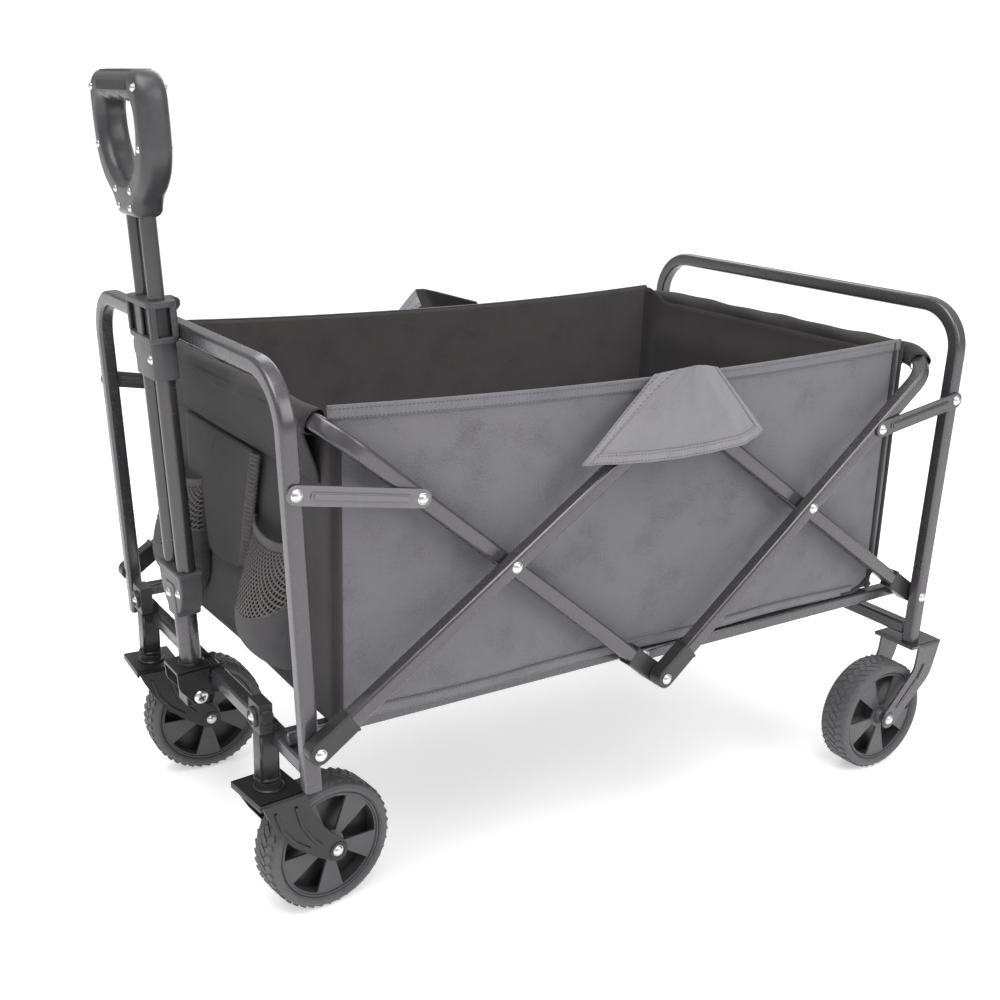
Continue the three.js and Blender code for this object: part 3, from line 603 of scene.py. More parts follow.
for end, edge_x, direction in (("front", BAG_FRONT + 0.0014, 1), ("rear", BAG_REAR - 0.0014, -1)):
    corner, wing = END_CORNER[end], END_WING[end]
    climb = (CROSSING[end] - LOW_JOINT).normalized()
    head = LOW_JOINT + climb * BRACE_LENGTH
    plan = 2 * (wing - corner) + pi * corner + 2 * (BAG_HALF - corner)
    tall = head.z + 0.006 - BAG_LOW
    lean = max(0.0, abs(head.x - edge_x) - SLEEVE_RADIUS + 0.0006)

    def end_shape(u, v):
        x, y = round_corner(u * plan, edge_x, direction, corner, wing)
        inside = eased((BAG_HALF - 0.006 - abs(y)) / 0.03)
        corner_top = 0.499 if end == "front" else rim_height(edge_x) - 0.001
        top = corner_top + inside * (head.z - corner_top)
        z = BAG_LOW - 0.001 + v * (top - BAG_LOW)
        wave = 0.0014 * sin(19 * y + 5 * z) * sin(11 * z + 3) * inside
        out = wave - 0.001 * inside + lean * inside * eased((z - BAND_LOW) / (head.z - BAND_LOW))
        return Vector((x + direction * out, y * (1 + 0.0016 / BAG_HALF), z))

    end_cloth = cloth(f"{end}_end_cloth", (plan, tall), (96, 44), end_shape, (direction, 0, 0), black_cloth,
                      f"bag_{end}", stands_for=[f"{end}_panel"])

    def band_shape(u, v):
        y = (u * 2 - 1) * (0.212 - 0.006 * (1 - v))
        z = BAND_LOW + v * (head.z + 0.003 - BAND_LOW)
        leaning = abs(head.x - edge_x) + SLEEVE_RADIUS + 0.0004 - 0.0022
        out = 0.0022 + leaning * (0.35 * v + 0.65 * eased(v)) + 0.001 * sin(17 * y + 1) * (1 - v)
        return Vector((edge_x + direction * out, y, z))

    band = cloth(f"{end}_top_band", (0.424, 0.064), (70, 16), band_shape, (direction, 0, 0), black_hem,
                 f"bag_{end}", thick=0.0013)

    straight = {"front": IN_LAYER, "rear": OUT_LAYER}[end] - BRACE_BEND
    across_climb = Vector((-climb.z, 0, climb.x)) * direction

    def sleeve_shape(u, v):
        run = (u * 2 - 1) * SLEEVE_REACH[end]
        bent = max(0.0, abs(run) - straight) / BRACE_BEND
        side_way = Vector((0, copysign(1, run), 0))
        y = copysign(min(abs(run), straight) + BRACE_BEND * sin(bent), run)
        middle = head - climb * BRACE_BEND * (1 - cos(bent))
        around = SLEEVE_FROM + v * SLEEVE_ROUND
        radius = SLEEVE_RADIUS + 0.0007 * sin(40 * run + 3 * around) + 0.0005 * sin(91 * run)
        radius *= 1 + 0.1 * abs(sin(2 * around))
        offset = Vector((direction * sin(around), 0, cos(around))) * radius
        upwards = climb * cos(bent) + side_way * sin(bent)
        turned = upwards * offset.dot(climb) + across_climb * offset.dot(across_climb)
        return Vector((middle.x, y, middle.z)) + turned

    sleeve_long = 2 * SLEEVE_REACH[end]
    sleeve = cloth(f"{end}_sleeve", (sleeve_long, 0.064), (110, 28), sleeve_shape, (0, 0, 1), black_cloth,
                   f"{end}_brace")

# ---- Floor cloth ----
# The bottom of the bag is black cloth over two stiff boards that lie on the floor rails. It is
# parted across the middle, where it folds.
FLOOR_TOP, FLOOR_HALF, FOLD_GAP = 0.2322, BAG_HALF - 0.0016, 0.0002
for end, start_x, stop_x in (("front", MIDDLE + FOLD_GAP, BAG_FRONT + 0.0002),
                             ("rear", MIDDLE - FOLD_GAP, BAG_REAR - 0.0002)):
    def floor_shape(u, v):
        x = start_x + u * (stop_x - start_x)
        y = (v * 2 - 1) * FLOOR_HALF
        dip = 0.001 * exp(-((x - MIDDLE) / 0.006) ** 2)
        return Vector((x, y, FLOOR_TOP - dip + 0.0004 * sin(37 * x) * sin(29 * y)))

    floor_long, floor_wide = abs(stop_x - start_x), 2 * FLOOR_HALF
    floor_cloth = cloth(f"floor_cloth_{end}", (floor_long, floor_wide), (56, 50), floor_shape, (0, 0, 1),
                        lining, f"floor_{end}", thick=0.0038, stands_for=[f"floor_{end}"])

# ---- Pockets ----
# The handle end carries two bottle pockets, of black net above and grey cloth below, drawn in at the
# mouth by an elastic, and between them a flat pocket that opens sideways at a ribbed elastic band.
POCKET_Y, POCKET_HALF, POCKET_TOP, POCKET_LOW = 0.118, 0.055, 0.384, 0.244
NET_PITCH, NET_OPEN, NET_FROM, NET_CURVE = 0.0046, 0.86, 0.44, 0.16
ELASTIC_RIBS = 26

net = bpy.data.materials.new("black_net")
shader, feed, node, maths = node_chain(net)
net_map = node("UVMap", uv_map="weave").outputs["UV"]
turned_map = node("Mapping", {"Vector": net_map, "Rotation": (0, 0, radians(45))}).outputs["Vector"]
net_parts = node("SeparateXYZ", {0: turned_map}).outputs
threads = [maths("ABSOLUTE", maths("COSINE", maths("MULTIPLY", net_parts[part], pi / NET_PITCH)))
           for part in ("X", "Y")]
knot = maths("MAXIMUM", *threads)
net_bump = node("Bump", {"Height": knot, "Strength": 0.8, "Distance": 0.001}).outputs["Normal"]
feed(shader, {"Alpha": maths("GREATER_THAN", knot, NET_OPEN), "Normal": net_bump,
              "Base Color": (0.092, 0.087, 0.085, 1), "Roughness": 0.6})

pocket_cloth = woven("dark_grey_polyester", (0.06, 0.057, 0.06))
elastic = woven("ribbed_elastic", (0.066, 0.062, 0.062), thread=0.0034, depth=1.0,
                mottling=0.3)


def bulge_of(across, up):
    """How far a bottle pocket stands out: drawn in at its mouth, fullest low in the net, none at its seam."""
    profile = 0.012 + 0.03 * sin(pi * min(1.0, up / 0.96) ** 0.62) ** 0.8
    return profile * max(0.0, 1 - across * across) ** 0.55


for side, sign in SIDES:
    def pocket_point(u, v, low, high):
        up = low + v * (high - low)
        across = u * 2 - 1
        round_seam = sqrt(max(0.0, 1 - (1 - min(1, up / 0.4)) ** 2 * 0.96))
        y = sign * POCKET_Y + across * POCKET_HALF * round_seam * (1 - 0.08 * up)
        x = BAG_FRONT + 0.0036 + bulge_of(across, up) * round_seam
        z = POCKET_LOW + up * (POCKET_TOP - POCKET_LOW) - 0.008 * up * (1 - across * across)
        return Vector((x, y, z))

    def net_line(u, above=0.0):
        return NET_FROM + above + NET_CURVE * (u * 2 - 1) ** 2

    net_piece = cloth(f"bottle_net_{side}", (0.13, 0.066), (40, 26),
                      lambda u, v: pocket_point(u, v, net_line(u), 0.97), (1, 0, 0), net, "bag_front",
                      thick=0.0009)
    base = cloth(f"bottle_base_{side}", (0.13, 0.094), (40, 26),
                 lambda u, v: pocket_point(u, v, 0.0, net_line(u, above=0.02)), (1, 0, 0), pocket_cloth,
                 "bag_front")
    mouth = cloth(f"bottle_mouth_{side}", (0.14, 0.009), (60, 6),
                  lambda u, v: pocket_point(u, v, 0.95, 1.01) + Vector((0.0012, 0, 0)), (1, 0, 0), elastic,
                  "bag_front", thick=0.002)


def flat_pocket_point(u, v):
    """The flat pocket: its bottom seam is a shallow bow, and its open side slants in towards the bottom."""
    y = -0.118 + u * (0.168 + 0.036 * v)
    low = 0.332 - 0.026 * sin(pi * min(1, u * 0.92 + 0.04)) ** 0.7
    stand = 0.004 + 0.004 * sin(pi * u) * sin(pi * v) + 0.002 * u ** 6
    return Vector((BAG_FRONT + stand, y, low + v * (0.448 - low)))


def band_point(u, v):
    """The ribbed elastic along the open side, gathered into small cross folds."""
    rib = 0.0009 * sin(2 * pi * v * ELASTIC_RIBS)
    stand = Vector((0.0022 + 0.003 * sin(pi * u) + rib, (u - 1) * 0.021 + 0.002, 0))
    return flat_pocket_point(1.0, v) + stand


flat_pocket = cloth("flat_pocket", (0.176, 0.132), (44, 30), flat_pocket_point, (1, 0, 0), black_cloth,
                    "bag_front")
side_elastic = cloth("flat_pocket_elastic", (0.022, 0.116), (8, 8 * ELASTIC_RIBS), band_point, (1, 0, 0),
                     elastic, "bag_front", thick=0.0016)

# ---- Flaps over the top joints ----
# A grey cloth flap is sewn to the rim on each side and hangs like a small tent over the top joint of
# the bars. Its folds run down along both bars, its slanted edges fall back and its hem droops.
FLAP_HALF, FLAP_HEM, FLAP_TAPE = 0.126, 0.449, 0.01
FLAP_TOP_HALF = {1: 0.019, -1: 0.064}
FLAP_EDGE_OUT = {1: 0.0375, -1: 0.018}
FLAP_PEAK = Vector((MIDDLE - 0.006, 0.27, 0.536))
flap_cloth = woven("flap_polyester", (0.205, 0.2, 0.211), thread=0.0014, mottling=0.12)
flap_tape = woven("flap_hem_tape", (0.2, 0.195, 0.206), thread=0.0014, stitches=(0.0018, 0.008))


def flap_point(s, down, proud=0.0):
    """The flap from edge to edge (s from -1 behind to 1 in front) and from peak to hem (down from 0 to 1)."""
    way = 1 if s > 0 else -1
    half = FLAP_TOP_HALF[way] + (FLAP_HALF - FLAP_TOP_HALF[way]) * down
    fold = 0.005 + 0.07 * down
    away = abs(s) * half
    y = FLAP_PEAK.y + 0.001 * min(1, 4 * down)
    z = FLAP_PEAK.z + (FLAP_HEM - FLAP_PEAK.z) * down
    if away < fold:
        hollow = 1 - (away / fold) ** 2
        y -= 0.0014 * hollow * sin(pi * down * 0.9)
        z -= 0.0035 * hollow * down ** 2
    else:
        back = (away - fold) / (half - fold)
        back = 1.12 * back * back / (back + 0.12)
        y += (0.23 + FLAP_EDGE_OUT[way] * down - y) * back
        z += (0.5215 - 0.069 * down - z) * back
    x = MIDDLE - 0.006 * (1 - down) + copysign(away, s) + 0.002 * sin(8 * down) * (1 - abs(s))
    return Vector((x, y + 0.0006 * sin(21 * s + 7 * down) * down + proud, z + proud * 0.3))


for side, sign in SIDES:
    def on_side(point, sign=sign):
        return Vector((point.x, sign * point.y, point.z))

    def tape(name, long, steps, shape):
        return cloth(f"flap_{name}_{side}", (long, FLAP_TAPE), (steps, 5), lambda u, v: on_side(shape(u, v)),
                     (0, sign, 0.5), flap_tape, "bag_front", thick=0.0008)

    flap = cloth(f"flap_cloth_{side}", (0.252, 0.1), (80, 34),
                 lambda u, v: on_side(flap_point(u * 2 - 1, 1 - v)), (0, sign, 0.5), [flap_cloth, lining],
                 "bag_front", stands_for=[f"flap_{side}"])
    tapes = [tape("hem", 0.252, 70, lambda u, v: flap_point(u * 2 - 1, 1.006 - 0.115 * v, 0.001))]
    for edge, way in (("front", 1), ("rear", -1)):
        def edge_point(u, v):
            wide = FLAP_TOP_HALF[way] + (FLAP_HALF - FLAP_TOP_HALF[way]) * u
            return flap_point(way * (1.004 - v * FLAP_TAPE / wide), u, 0.0011)

        tapes.append(tape(f"edge_{edge}", 0.105, 40, edge_point))
    for piece in [flap] + tapes:
        gather(piece)

# ---- Caster stems ----
# A square steel post stands over each caster, welded to the front crossbar. A moulded cap closes its
# top, with a round boss on its front and outer faces and a rivet through the front one.
STEM_X, STEM_Y, STEM_LOW, STEM_HIGH, STEM_TOP = MIDDLE + 0.4035, 0.1665, 0.157, 0.216, 0.238
black_coat = coated("black_coated_steel", (0.03, 0.029, 0.031), 0.34, metallic=0.4,
                    grain=1300)


def block(bm, low, high):
    """A plain block between two corners; its edges are eased later."""
    low, high = Vector(low), Vector(high)
    verts = bmesh.ops.create_cube(bm, size=1)["verts"]
    size = Matrix.Diagonal((*(high - low), 1))
    bmesh.ops.transform(bm, matrix=Matrix.Translation((low + high) / 2) @ size, verts=verts)


for side, sign in SIDES:
    y = sign * STEM_Y
    post_x = STEM_X + 0.0015
    post_mesh = tube(bmesh.new(), [(post_x, y, STEM_LOW), (post_x, y, STEM_HIGH)], size=0.0198, corner=0.003)
    turn(post_mesh, [(0, 0), (0.0128, 0), (0.0128, 0.0016), (0.0112, 0.003), (0, 0.003)],
         (post_x, y, STEM_LOW - 0.0006), (0, 0, 1))
    finished(f"stem_post_{side}", post_mesh, black_coat, "front_frame")
    cap_mesh = bmesh.new()
    block(cap_mesh, (STEM_X - 0.0008, y - 0.0125, 0.2128), (STEM_X + 0.013, y + 0.0125, STEM_TOP))
    block(cap_mesh, (STEM_X - 0.0008, y - 0.0112, 0.207), (STEM_X + 0.0118, y + 0.0112, 0.2135))
    turn(cap_mesh, [(0, -0.004), (0.0102, -0.004), (0.0102, 0.0022), (0.0088, 0.0034), (0.0072, 0.0034),
                    (0.0066, 0.0022), (0, 0.0022)], (STEM_X + 0.013, y, 0.2225), (1, 0, 0))
    turn(cap_mesh, [(0, -0.004), (0.007, -0.004), (0.007, 0.0008), (0.006, 0.0016), (0, 0.0016)],
         (STEM_X + 0.0056, y + sign * 0.0125, 0.2255), (0, sign, 0))
    finished(f"stem_cap_{side}", cap_mesh, boot_plastic, "front_frame", [f"stem_{side}"],
             ease=0.0012)
    rivets(f"stem_rivet_{side}", "front_frame", [((STEM_X + 0.015, y, 0.2225), (1, 0, 0))], r=0.0034)

# ---- Wheels ----
# Each wheel is moulded in one: a rim and hub joined by a middle disc, with five flat spokes on each
# side of it and five wedge-shaped pockets between them. The middle disc is drawn in black moulding,
# painted shade at the back of the pockets. A soft tyre with a fine tread is pressed on.
RADIUS, HALF_WIDTH, RIM = 0.0686, 0.0207, 0.056
WINDOW_IN, WINDOW_OUT, RIM_IN, HUB = 0.015, 0.0515, 0.0535, 0.0118
SPOKES, WEB_STEPS, WEB_THICK, WEB_OUT, WINDOW_SHARE = 5, 75, 0.003, 0.0158, 0.54
STEM_TRAIL = 0.0583
CASTER_TURN = {"left": radians(5.5), "right": radians(-3)}
REAR_WHEEL_X, REAR_WHEEL_Y = MIDDLE - 0.3568, 0.2447
BLOCKS, BLOCK_SIZE, BLOCK_SLANT = 42, (0.006, 0.0114, 0.0034, 1), 0.6

wheel_plastic = coated("wheel_moulding", (0.066, 0.064, 0.068), 0.42, grain=800, depth=0.14)
rubber = coated("tyre_rubber", (0.084, 0.083, 0.087), 0.62, grain=1100, depth=0.3, scuffs=0.2)

WHEELS = {}
for side, sign in SIDES:
    swivel = Matrix.Translation((STEM_X, sign * STEM_Y, 0)) @ Matrix.Rotation(CASTER_TURN[side], 4, "Z")
    WHEELS[f"front_{side}"] = swivel @ Matrix.Translation((-STEM_TRAIL, 0, RADIUS))
    WHEELS[f"rear_{side}"] = Matrix.Translation((REAR_WHEEL_X, sign * REAR_WHEEL_Y, RADIUS))


def symmetric(profile, *middle):
    """A profile, what lies on the middle plane, and the profile's mirror image back to its start."""
    return profile + list(middle) + [(r, -y) for r, y in reversed(profile)] + profile[:1]


def spoked_web(bm, y, thick):
    """One face of spokes: rings spun from a radial line, with the windows cleared, then thickened."""
    radii = [HUB - 0.002, WINDOW_IN, 0.024, 0.034, 0.043, WINDOW_OUT, RIM_IN + 0.001]
    verts = [bm.verts.new((r, y, 0)) for r in radii]
    edges = [bm.edges.new(pair) for pair in zip(verts, verts[1:])]
    old_faces = set(bm.faces)
    bmesh.ops.spin(bm, geom=verts + edges, cent=(0, 0, 0), axis=(0, 1, 0), angle=2 * pi, steps=WEB_STEPS,
                   use_merge=True, use_duplicate=False)
    faces = [face for face in bm.faces if face not in old_faces]
    open_faces = []
    for face in faces:
        middle = face.calc_center_median()
        r = hypot(middle.x, middle.z)
        step = (atan2(middle.z, middle.x) / (2 * pi) * SPOKES + 0.25) % 1
        if WINDOW_IN < r < WINDOW_OUT and abs(step - 0.5) < WINDOW_SHARE / 2:
            open_faces.append(face)
    bmesh.ops.delete(bm, geom=open_faces, context="FACES")
    kept = [face for face in faces if face.is_valid]
    made = bmesh.ops.extrude_face_region(bm, geom=kept)["geom"]
    bmesh.ops.translate(bm, verts=of_kind("BMVert", made), vec=(0, thick, 0))


for place, at in WHEELS.items():
    body = f"wheel_{place}"
    half = HALF_WIDTH - 0.003
    wheel_mesh = bmesh.new()
    for web_y in (WEB_OUT - WEB_THICK, -WEB_OUT):
        spoked_web(wheel_mesh, web_y, WEB_THICK)
    turn(wheel_mesh, [(RIM_IN, -half), (RIM_IN - 0.0008, -half + 0.004), (RIM_IN - 0.0014, 0),
                      (RIM_IN - 0.0008, half - 0.004), (RIM_IN, half), (RIM - 0.001, half),
                      (RIM, half - 0.001),
                      (RIM, -half + 0.001), (RIM - 0.001, -half), (RIM_IN, -half)], steps=60)
    turn(wheel_mesh, symmetric([(0.0045, -half - 0.004), (HUB - 0.003, -half - 0.004),
                                (HUB - 0.002, -half - 0.002), (HUB, -0.008)]), steps=36)
    finished(f"spoked_wheel_{place}", wheel_mesh, wheel_plastic, body, [f"wheel_{place}"],
             ease=0.0008, place=at)
    # The middle disc takes the black moulding, not the wheel's own plastic: painted shade in the pockets.
    painted_shade_disc_mesh = turn(bmesh.new(), symmetric([(HUB - 0.001, -0.0015), (RIM_IN + 0.001, -0.0015)]), steps=60)
    finished(f"painted_shade_wheel_disc_{place}", painted_shade_disc_mesh, boot_plastic, body, place=at)

    tyre_mesh = bmesh.new()
    crown = RADIUS - 0.0015
    turn(tyre_mesh, symmetric(
        [(RIM + 0.0002, -HALF_WIDTH + 0.0034), (RIM + 0.0022, -HALF_WIDTH + 0.001),
         (RIM + 0.005, -HALF_WIDTH),
         (RADIUS - 0.007, -HALF_WIDTH + 0.0004), (RADIUS - 0.0042, -HALF_WIDTH + 0.0018),
         (crown - 0.0012, -HALF_WIDTH + 0.0044), (crown, -HALF_WIDTH + 0.0082)],
        (crown + 0.0002, 0)), steps=84)
    for index in range(BLOCKS):
        for row_y, slant, shift in ((-0.01, BLOCK_SLANT, 0), (0, -BLOCK_SLANT, 0.5), (0.01, BLOCK_SLANT, 0)):
            angle = (index + shift) / BLOCKS * 2 * pi
            lug = bmesh.ops.create_cube(tyre_mesh, size=1)["verts"]
            outer = RADIUS - (0.0003 if shift else 0.0006)
            shape = (Matrix.Rotation(angle, 4, "Y") @ Matrix.Translation((0, row_y, outer - 0.0017))
                     @ Matrix.Rotation(slant, 4, "Z") @ Matrix.Diagonal(BLOCK_SIZE))
            bmesh.ops.transform(tyre_mesh, matrix=shape, verts=lug)
    finished(f"treaded_tyre_{place}", tyre_mesh, rubber, body, [f"tyre_{place}"], ease=0.0003, place=at)

# ---- Forks and axles ----
# A pressed steel fork holds each wheel. The casters' arms are crescents with two raised ribs, and
# the rear arms slant back from a flat plate under the leg. A riveted axle pins each wheel.
FORK_HALF, FORK_THICK, FORK_TOP = 0.0295, 0.0026, 0.1455
REAR_TOP = 0.158


def standing(y):
    return Matrix.Translation((0, y, 0)) @ ON_SIDE


for place, at in WHEELS.items():
    front = place.startswith("front")
    body = f"caster_{place[6:]}" if front else "rear_frame"
    fork_mesh = bmesh.new()
    if front:
        top = FORK_TOP - RADIUS
        arm = [(0.034, top), (0.03, 0.058), (0.02, 0.038), (0.007, 0.0225), (-0.0085, 0.009, 0.003),
               (-0.0118, 0, 0.004), (-0.0085, -0.0085, 0.004), (0, -0.0118, 0.004), (0.0085, -0.009, 0.003),
               (0.03, 0.006), (0.05, 0.022), (0.066, 0.044), (0.076, 0.062), (0.0822, top)]
        ribs = [[(0.046, 0.064), (0.04, 0.042), (0.03, 0.025), (0.019, 0.013)],
                [(0.068, 0.064), (0.061, 0.044), (0.048, 0.0265), (0.032, 0.014)]]
        plate_from, plate_to = STEM_TRAIL - 0.026, STEM_TRAIL + 0.025
    else:
        top = REAR_TOP - RADIUS
        arm = [(-0.04, top), (-0.0365, 0.058, 0.006), (0.0085, 0.009, 0.003), (0.0118, 0.0, 0.004),
               (0.0085, -0.0085, 0.004), (0, -0.0118, 0.004), (-0.011, -0.006, 0.004), (-0.066, 0.045, 0.01),
               (-0.0785, top, 0.006)]
        ribs = [[(-0.053, 0.062), (-0.044, 0.045), (-0.012, 0.013)]]
        plate_from, plate_to = -0.0785, -0.027
    for sign in (1, -1):
        slab(fork_mesh, arm, FORK_THICK, standing(sign * (FORK_HALF - FORK_THICK / 2)))
        rib_y = sign * (FORK_HALF + 0.0002)
        for rib in ribs:
            tube(fork_mesh, [(x, rib_y, z) for x, z in rib], bend=0.012, size=0.0038, corner=0.0015)
        turn(fork_mesh, [(0.0048, -0.001), (0.0098, -0.001), (0.0096, 0.0007), (0.0086, 0.0012),
                         (0.0066, 0.0012), (0.006, 0.0004), (0.0048, 0.0004), (0.0048, -0.001)],
             (0, sign * FORK_HALF, 0), (0, sign, 0))
    block(fork_mesh, (plate_from, -FORK_HALF, top - 0.004), (plate_to, FORK_HALF, top))
    if front:
        turn(fork_mesh, [(0, -0.002), (0.015, -0.002), (0.015, 0.0016), (0.0134, 0.0028), (0.011, 0.003),
                         (0.011, 0.0088), (0, 0.0088)], (STEM_TRAIL, 0, top), (0, 0, 1))
        block(fork_mesh, (plate_to - 0.0024, -FORK_HALF, top - 0.0066), (plate_to, FORK_HALF, top - 0.001))
    finished(f"pressed_fork_{place}", fork_mesh, black_coat if front else frame_coat, body, [f"fork_{place}"],
             ease=0.0012, place=at)
    pin = [(0, -FORK_HALF), (0.0039, -FORK_HALF), (0.0039, FORK_HALF), (0, FORK_HALF)]
    axle_mesh = turn(bmesh.new(), pin)
    for sign in (1, -1):
        rivet(axle_mesh, (0, sign * (FORK_HALF + 0.0004), 0), (0, sign, 0), 0.005)
    finished(f"axle_pin_{place}", axle_mesh, zinc, body, [f"axle_{place}"], place=at)

# ---- Handle foot ----
# The handle turns on a bolt through a lug on the front crossbar: a pressed steel yoke straddles the
# lug, a short round tube is welded on its top, and a moulded clamp joins that to the twin tubes.
HINGE = Vector((MIDDLE + 0.414, 0, 0.18))
LEAN = radians(3.45)
UP_HANDLE = Matrix.Translation(HINGE) @ Matrix.Rotation(LEAN, 4, "Y")
FACING_FRONT = Matrix(((0, 0, 1, 0), (1, 0, 0, 0), (0, 1, 0, 0), (0, 0, 0, 1)))
clamp_plastic = coated("grey_moulding", (0.058, 0.056, 0.06), 0.44, grain=650, depth=0.16)

lug_mesh = bmesh.new()
block(lug_mesh, (MIDDLE + 0.4023, -0.013, HINGE.z - 0.012), (HINGE.x + 0.012, 0.013, HINGE.z + 0.011))
for sign in (1, -1):
    block(lug_mesh, (MIDDLE + 0.384, sign * 0.0145 - 0.0015, HINGE.z - 0.002),
          (MIDDLE + 0.42, sign * 0.0145 + 0.0015, HINGE.z + 0.03))
finished("hinge_lug_block", lug_mesh, black_coat, "front_frame", ["hinge_lug"], ease=0.0012)

yoke_mesh = bmesh.new()
for sign in (1, -1):
    slab(yoke_mesh, [(-0.015, 0.032), (-0.011, 0.018), (-0.011, 0.0, 0.004), (-0.0078, -0.0078, 0.004),
                     (0, -0.011, 0.004), (0.0078, -0.0078, 0.004), (0.012, 0, 0.004), (0.0215, 0.013, 0.004),
                     (0.022, 0.032)], 0.003, standing(sign * 0.0185))
block(yoke_mesh, (-0.015, -0.02, 0.0285), (0.022, 0.02, 0.0322))
turn(yoke_mesh, [(0.0105, 0), (0.0138, 0.0), (0.0126, 0.0022), (0.0113, 0.003), (0.0105, 0)], (0, 0, 0.032),
     (0, 0, 1))
finished("handle_yoke", yoke_mesh, black_coat, "handle", ["yoke"], ease=0.001, place=UP_HANDLE)

bolt_mesh = bmesh.new()
turn(bolt_mesh, [(0, -0.023), (0.004, -0.023), (0.004, 0.021), (0, 0.021)])
turn(bolt_mesh, [(0, 0), (0.0072, 0), (0.0074, 0.0012), (0.0062, 0.003), (0.0036, 0.0037), (0, 0.0038)],
     (0, 0.0203, 0), (0, 1, 0))
turn(bolt_mesh, [(0, 0), (0.007, 0), (0.007, 0.0042), (0.0058, 0.0048), (0, 0.0048)], (0, -0.0203, 0),
     (0, -1, 0), 6)
finished("hinge_bolt_zinc", bolt_mesh, zinc, "handle", ["hinge_bolt"], place=UP_HANDLE)
slot_mesh = bmesh.new()
for angle in (20, 110):
    slab(slot_mesh, rectangle(-0.0042, -0.0007, 0.0042, 0.0007), 0.001,
         Matrix.Translation((0, 0.0238, 0)) @ Matrix.Rotation(radians(angle), 4, "Y") @ ON_SIDE)
finished("hinge_bolt_cross", slot_mesh, boot_plastic, "handle", place=UP_HANDLE)

foot_mesh = turn(bmesh.new(), [(0, 0.032), (0.0113, 0.032), (0.0113, 0.093), (0, 0.093)], axis=(0, 0, 1),
                 steps=48)
finished("handle_foot_tube", foot_mesh, frame_coat, "handle", ["foot_tube"], place=UP_HANDLE)

clamp_mesh = bmesh.new()
apron = [(-0.031, 0.138, 0.003), (-0.031, 0.118, 0.01), (-0.023, 0.101, 0.008), (-0.013, 0.092, 0.005)]
apron += [(-y, z, rounding) for y, z, rounding in reversed(apron)]
slab(clamp_mesh, apron, 0.024, FACING_FRONT)
slab(clamp_mesh, rectangle(-0.0318, 0.134, 0.0318, 0.14), 0.0258, FACING_FRONT)
slab(clamp_mesh, [(-0.013, 0.088, 0.003), (0.013, 0.088, 0.003), (0.013, 0.125), (-0.013, 0.125)], 0.0262,
     FACING_FRONT)
finished("handle_lower_clamp", clamp_mesh, clamp_plastic, "handle", ["lower_clamp"], ease=0.0022,
         place=UP_HANDLE)

# ---- Twin tubes and collar ----
# Two round tubes rise side by side to a moulded collar, and the upper pair slides inside them. The
# collar has a flange at its top and waist, windows between, a spring clip and a release lever. A
# black block inside the collar paints the shade seen through its windows.
SPREAD, TWIN_RADIUS, UPPER_RADIUS = 0.018, 0.00925, 0.0078
TWIN_LOW, TWIN_HIGH, UPPER_LOW, UPPER_HIGH = 0.1383, 0.34, 0.196, 0.49
COLLAR_LOW, COLLAR_HIGH, WINDOW_LOW, WINDOW_HIGH = 0.34, 0.411, 0.3765, 0.4055
tube_coat = coated("glossy_coated_tube", (0.08, 0.077, 0.08), 0.2, metallic=0.6,
                   grain=1400, depth=0.015, scuffs=0.06)

for side, sign in SIDES:
    for name, body, profile in (
            ("twin_tube", "handle",
             [(TWIN_RADIUS - 0.001, TWIN_LOW), (TWIN_RADIUS, TWIN_LOW), (TWIN_RADIUS, TWIN_HIGH),
              (TWIN_RADIUS - 0.001, TWIN_HIGH), (TWIN_RADIUS - 0.001, TWIN_LOW)]),
            ("upper_tube", "handle_top",
             [(0, UPPER_LOW), (UPPER_RADIUS, UPPER_LOW), (UPPER_RADIUS, UPPER_HIGH), (0, UPPER_HIGH)])):
        tube_mesh = turn(bmesh.new(), profile, (0, sign * SPREAD, 0), (0, 0, 1), 48)
        finished(f"{name}_coated_{side}", tube_mesh, tube_coat, body, [f"{name}_{side}"], place=UP_HANDLE)


def rounded_block(bm, half_x, half_y, corner, low, high):
    slab(bm, rectangle(-half_x, -half_y, half_x, half_y, corner), high - low,
         Matrix.Translation((0, 0, (low + high) / 2)))


collar_mesh = bmesh.new()
rounded_block(collar_mesh, 0.0124, 0.0312, 0.009, COLLAR_LOW - 0.004, 0.374)
rounded_block(collar_mesh, 0.0144, 0.0355, 0.01, 0.372, 0.3775)
rounded_block(collar_mesh, 0.0144, 0.0355, 0.01, 0.405, COLLAR_HIGH)
for y, wide in ((-0.03, 0.0026), (0.0, 0.008), (0.03, 0.0026)):
    for x in (0.0121, -0.0121):
        block(collar_mesh, (x - 0.0014, y - wide, WINDOW_LOW), (x + 0.0014, y + wide, WINDOW_HIGH))
for sign in (1, -1):
    y = sign * 0.0325
    for x in (-0.0092, 0.0092):
        block(collar_mesh, (x - 0.0026, y - 0.0014, WINDOW_LOW), (x + 0.0026, y + 0.0014, WINDOW_HIGH))
finished("handle_collar", collar_mesh, clamp_plastic, "handle", ["collar"], ease=0.001, place=UP_HANDLE)
# A black block fills the collar behind its windows: painted shade in the openings.
painted_shade_core_mesh = bmesh.new()
rounded_block(painted_shade_core_mesh, 0.0098, 0.03, 0.007, 0.377, 0.406)
finished("collar_painted_shade_core", painted_shade_core_mesh, boot_plastic, "handle", ease=0.001, place=UP_HANDLE)

clip = [(-0.013, 0.395), (-0.022, 0.3965, 0.002), (-0.0262, 0.4005, 0.002), (-0.0262, 0.407, 0.002),
        (-0.0225, 0.4095, 0.002), (-0.013, 0.4095)]
clip_mesh = slab(bmesh.new(), clip, 0.016, ON_SIDE)
finished("hoop_spring_clip", clip_mesh, boot_plastic, "handle", ["hoop_clip"], ease=0.0016, place=UP_HANDLE)

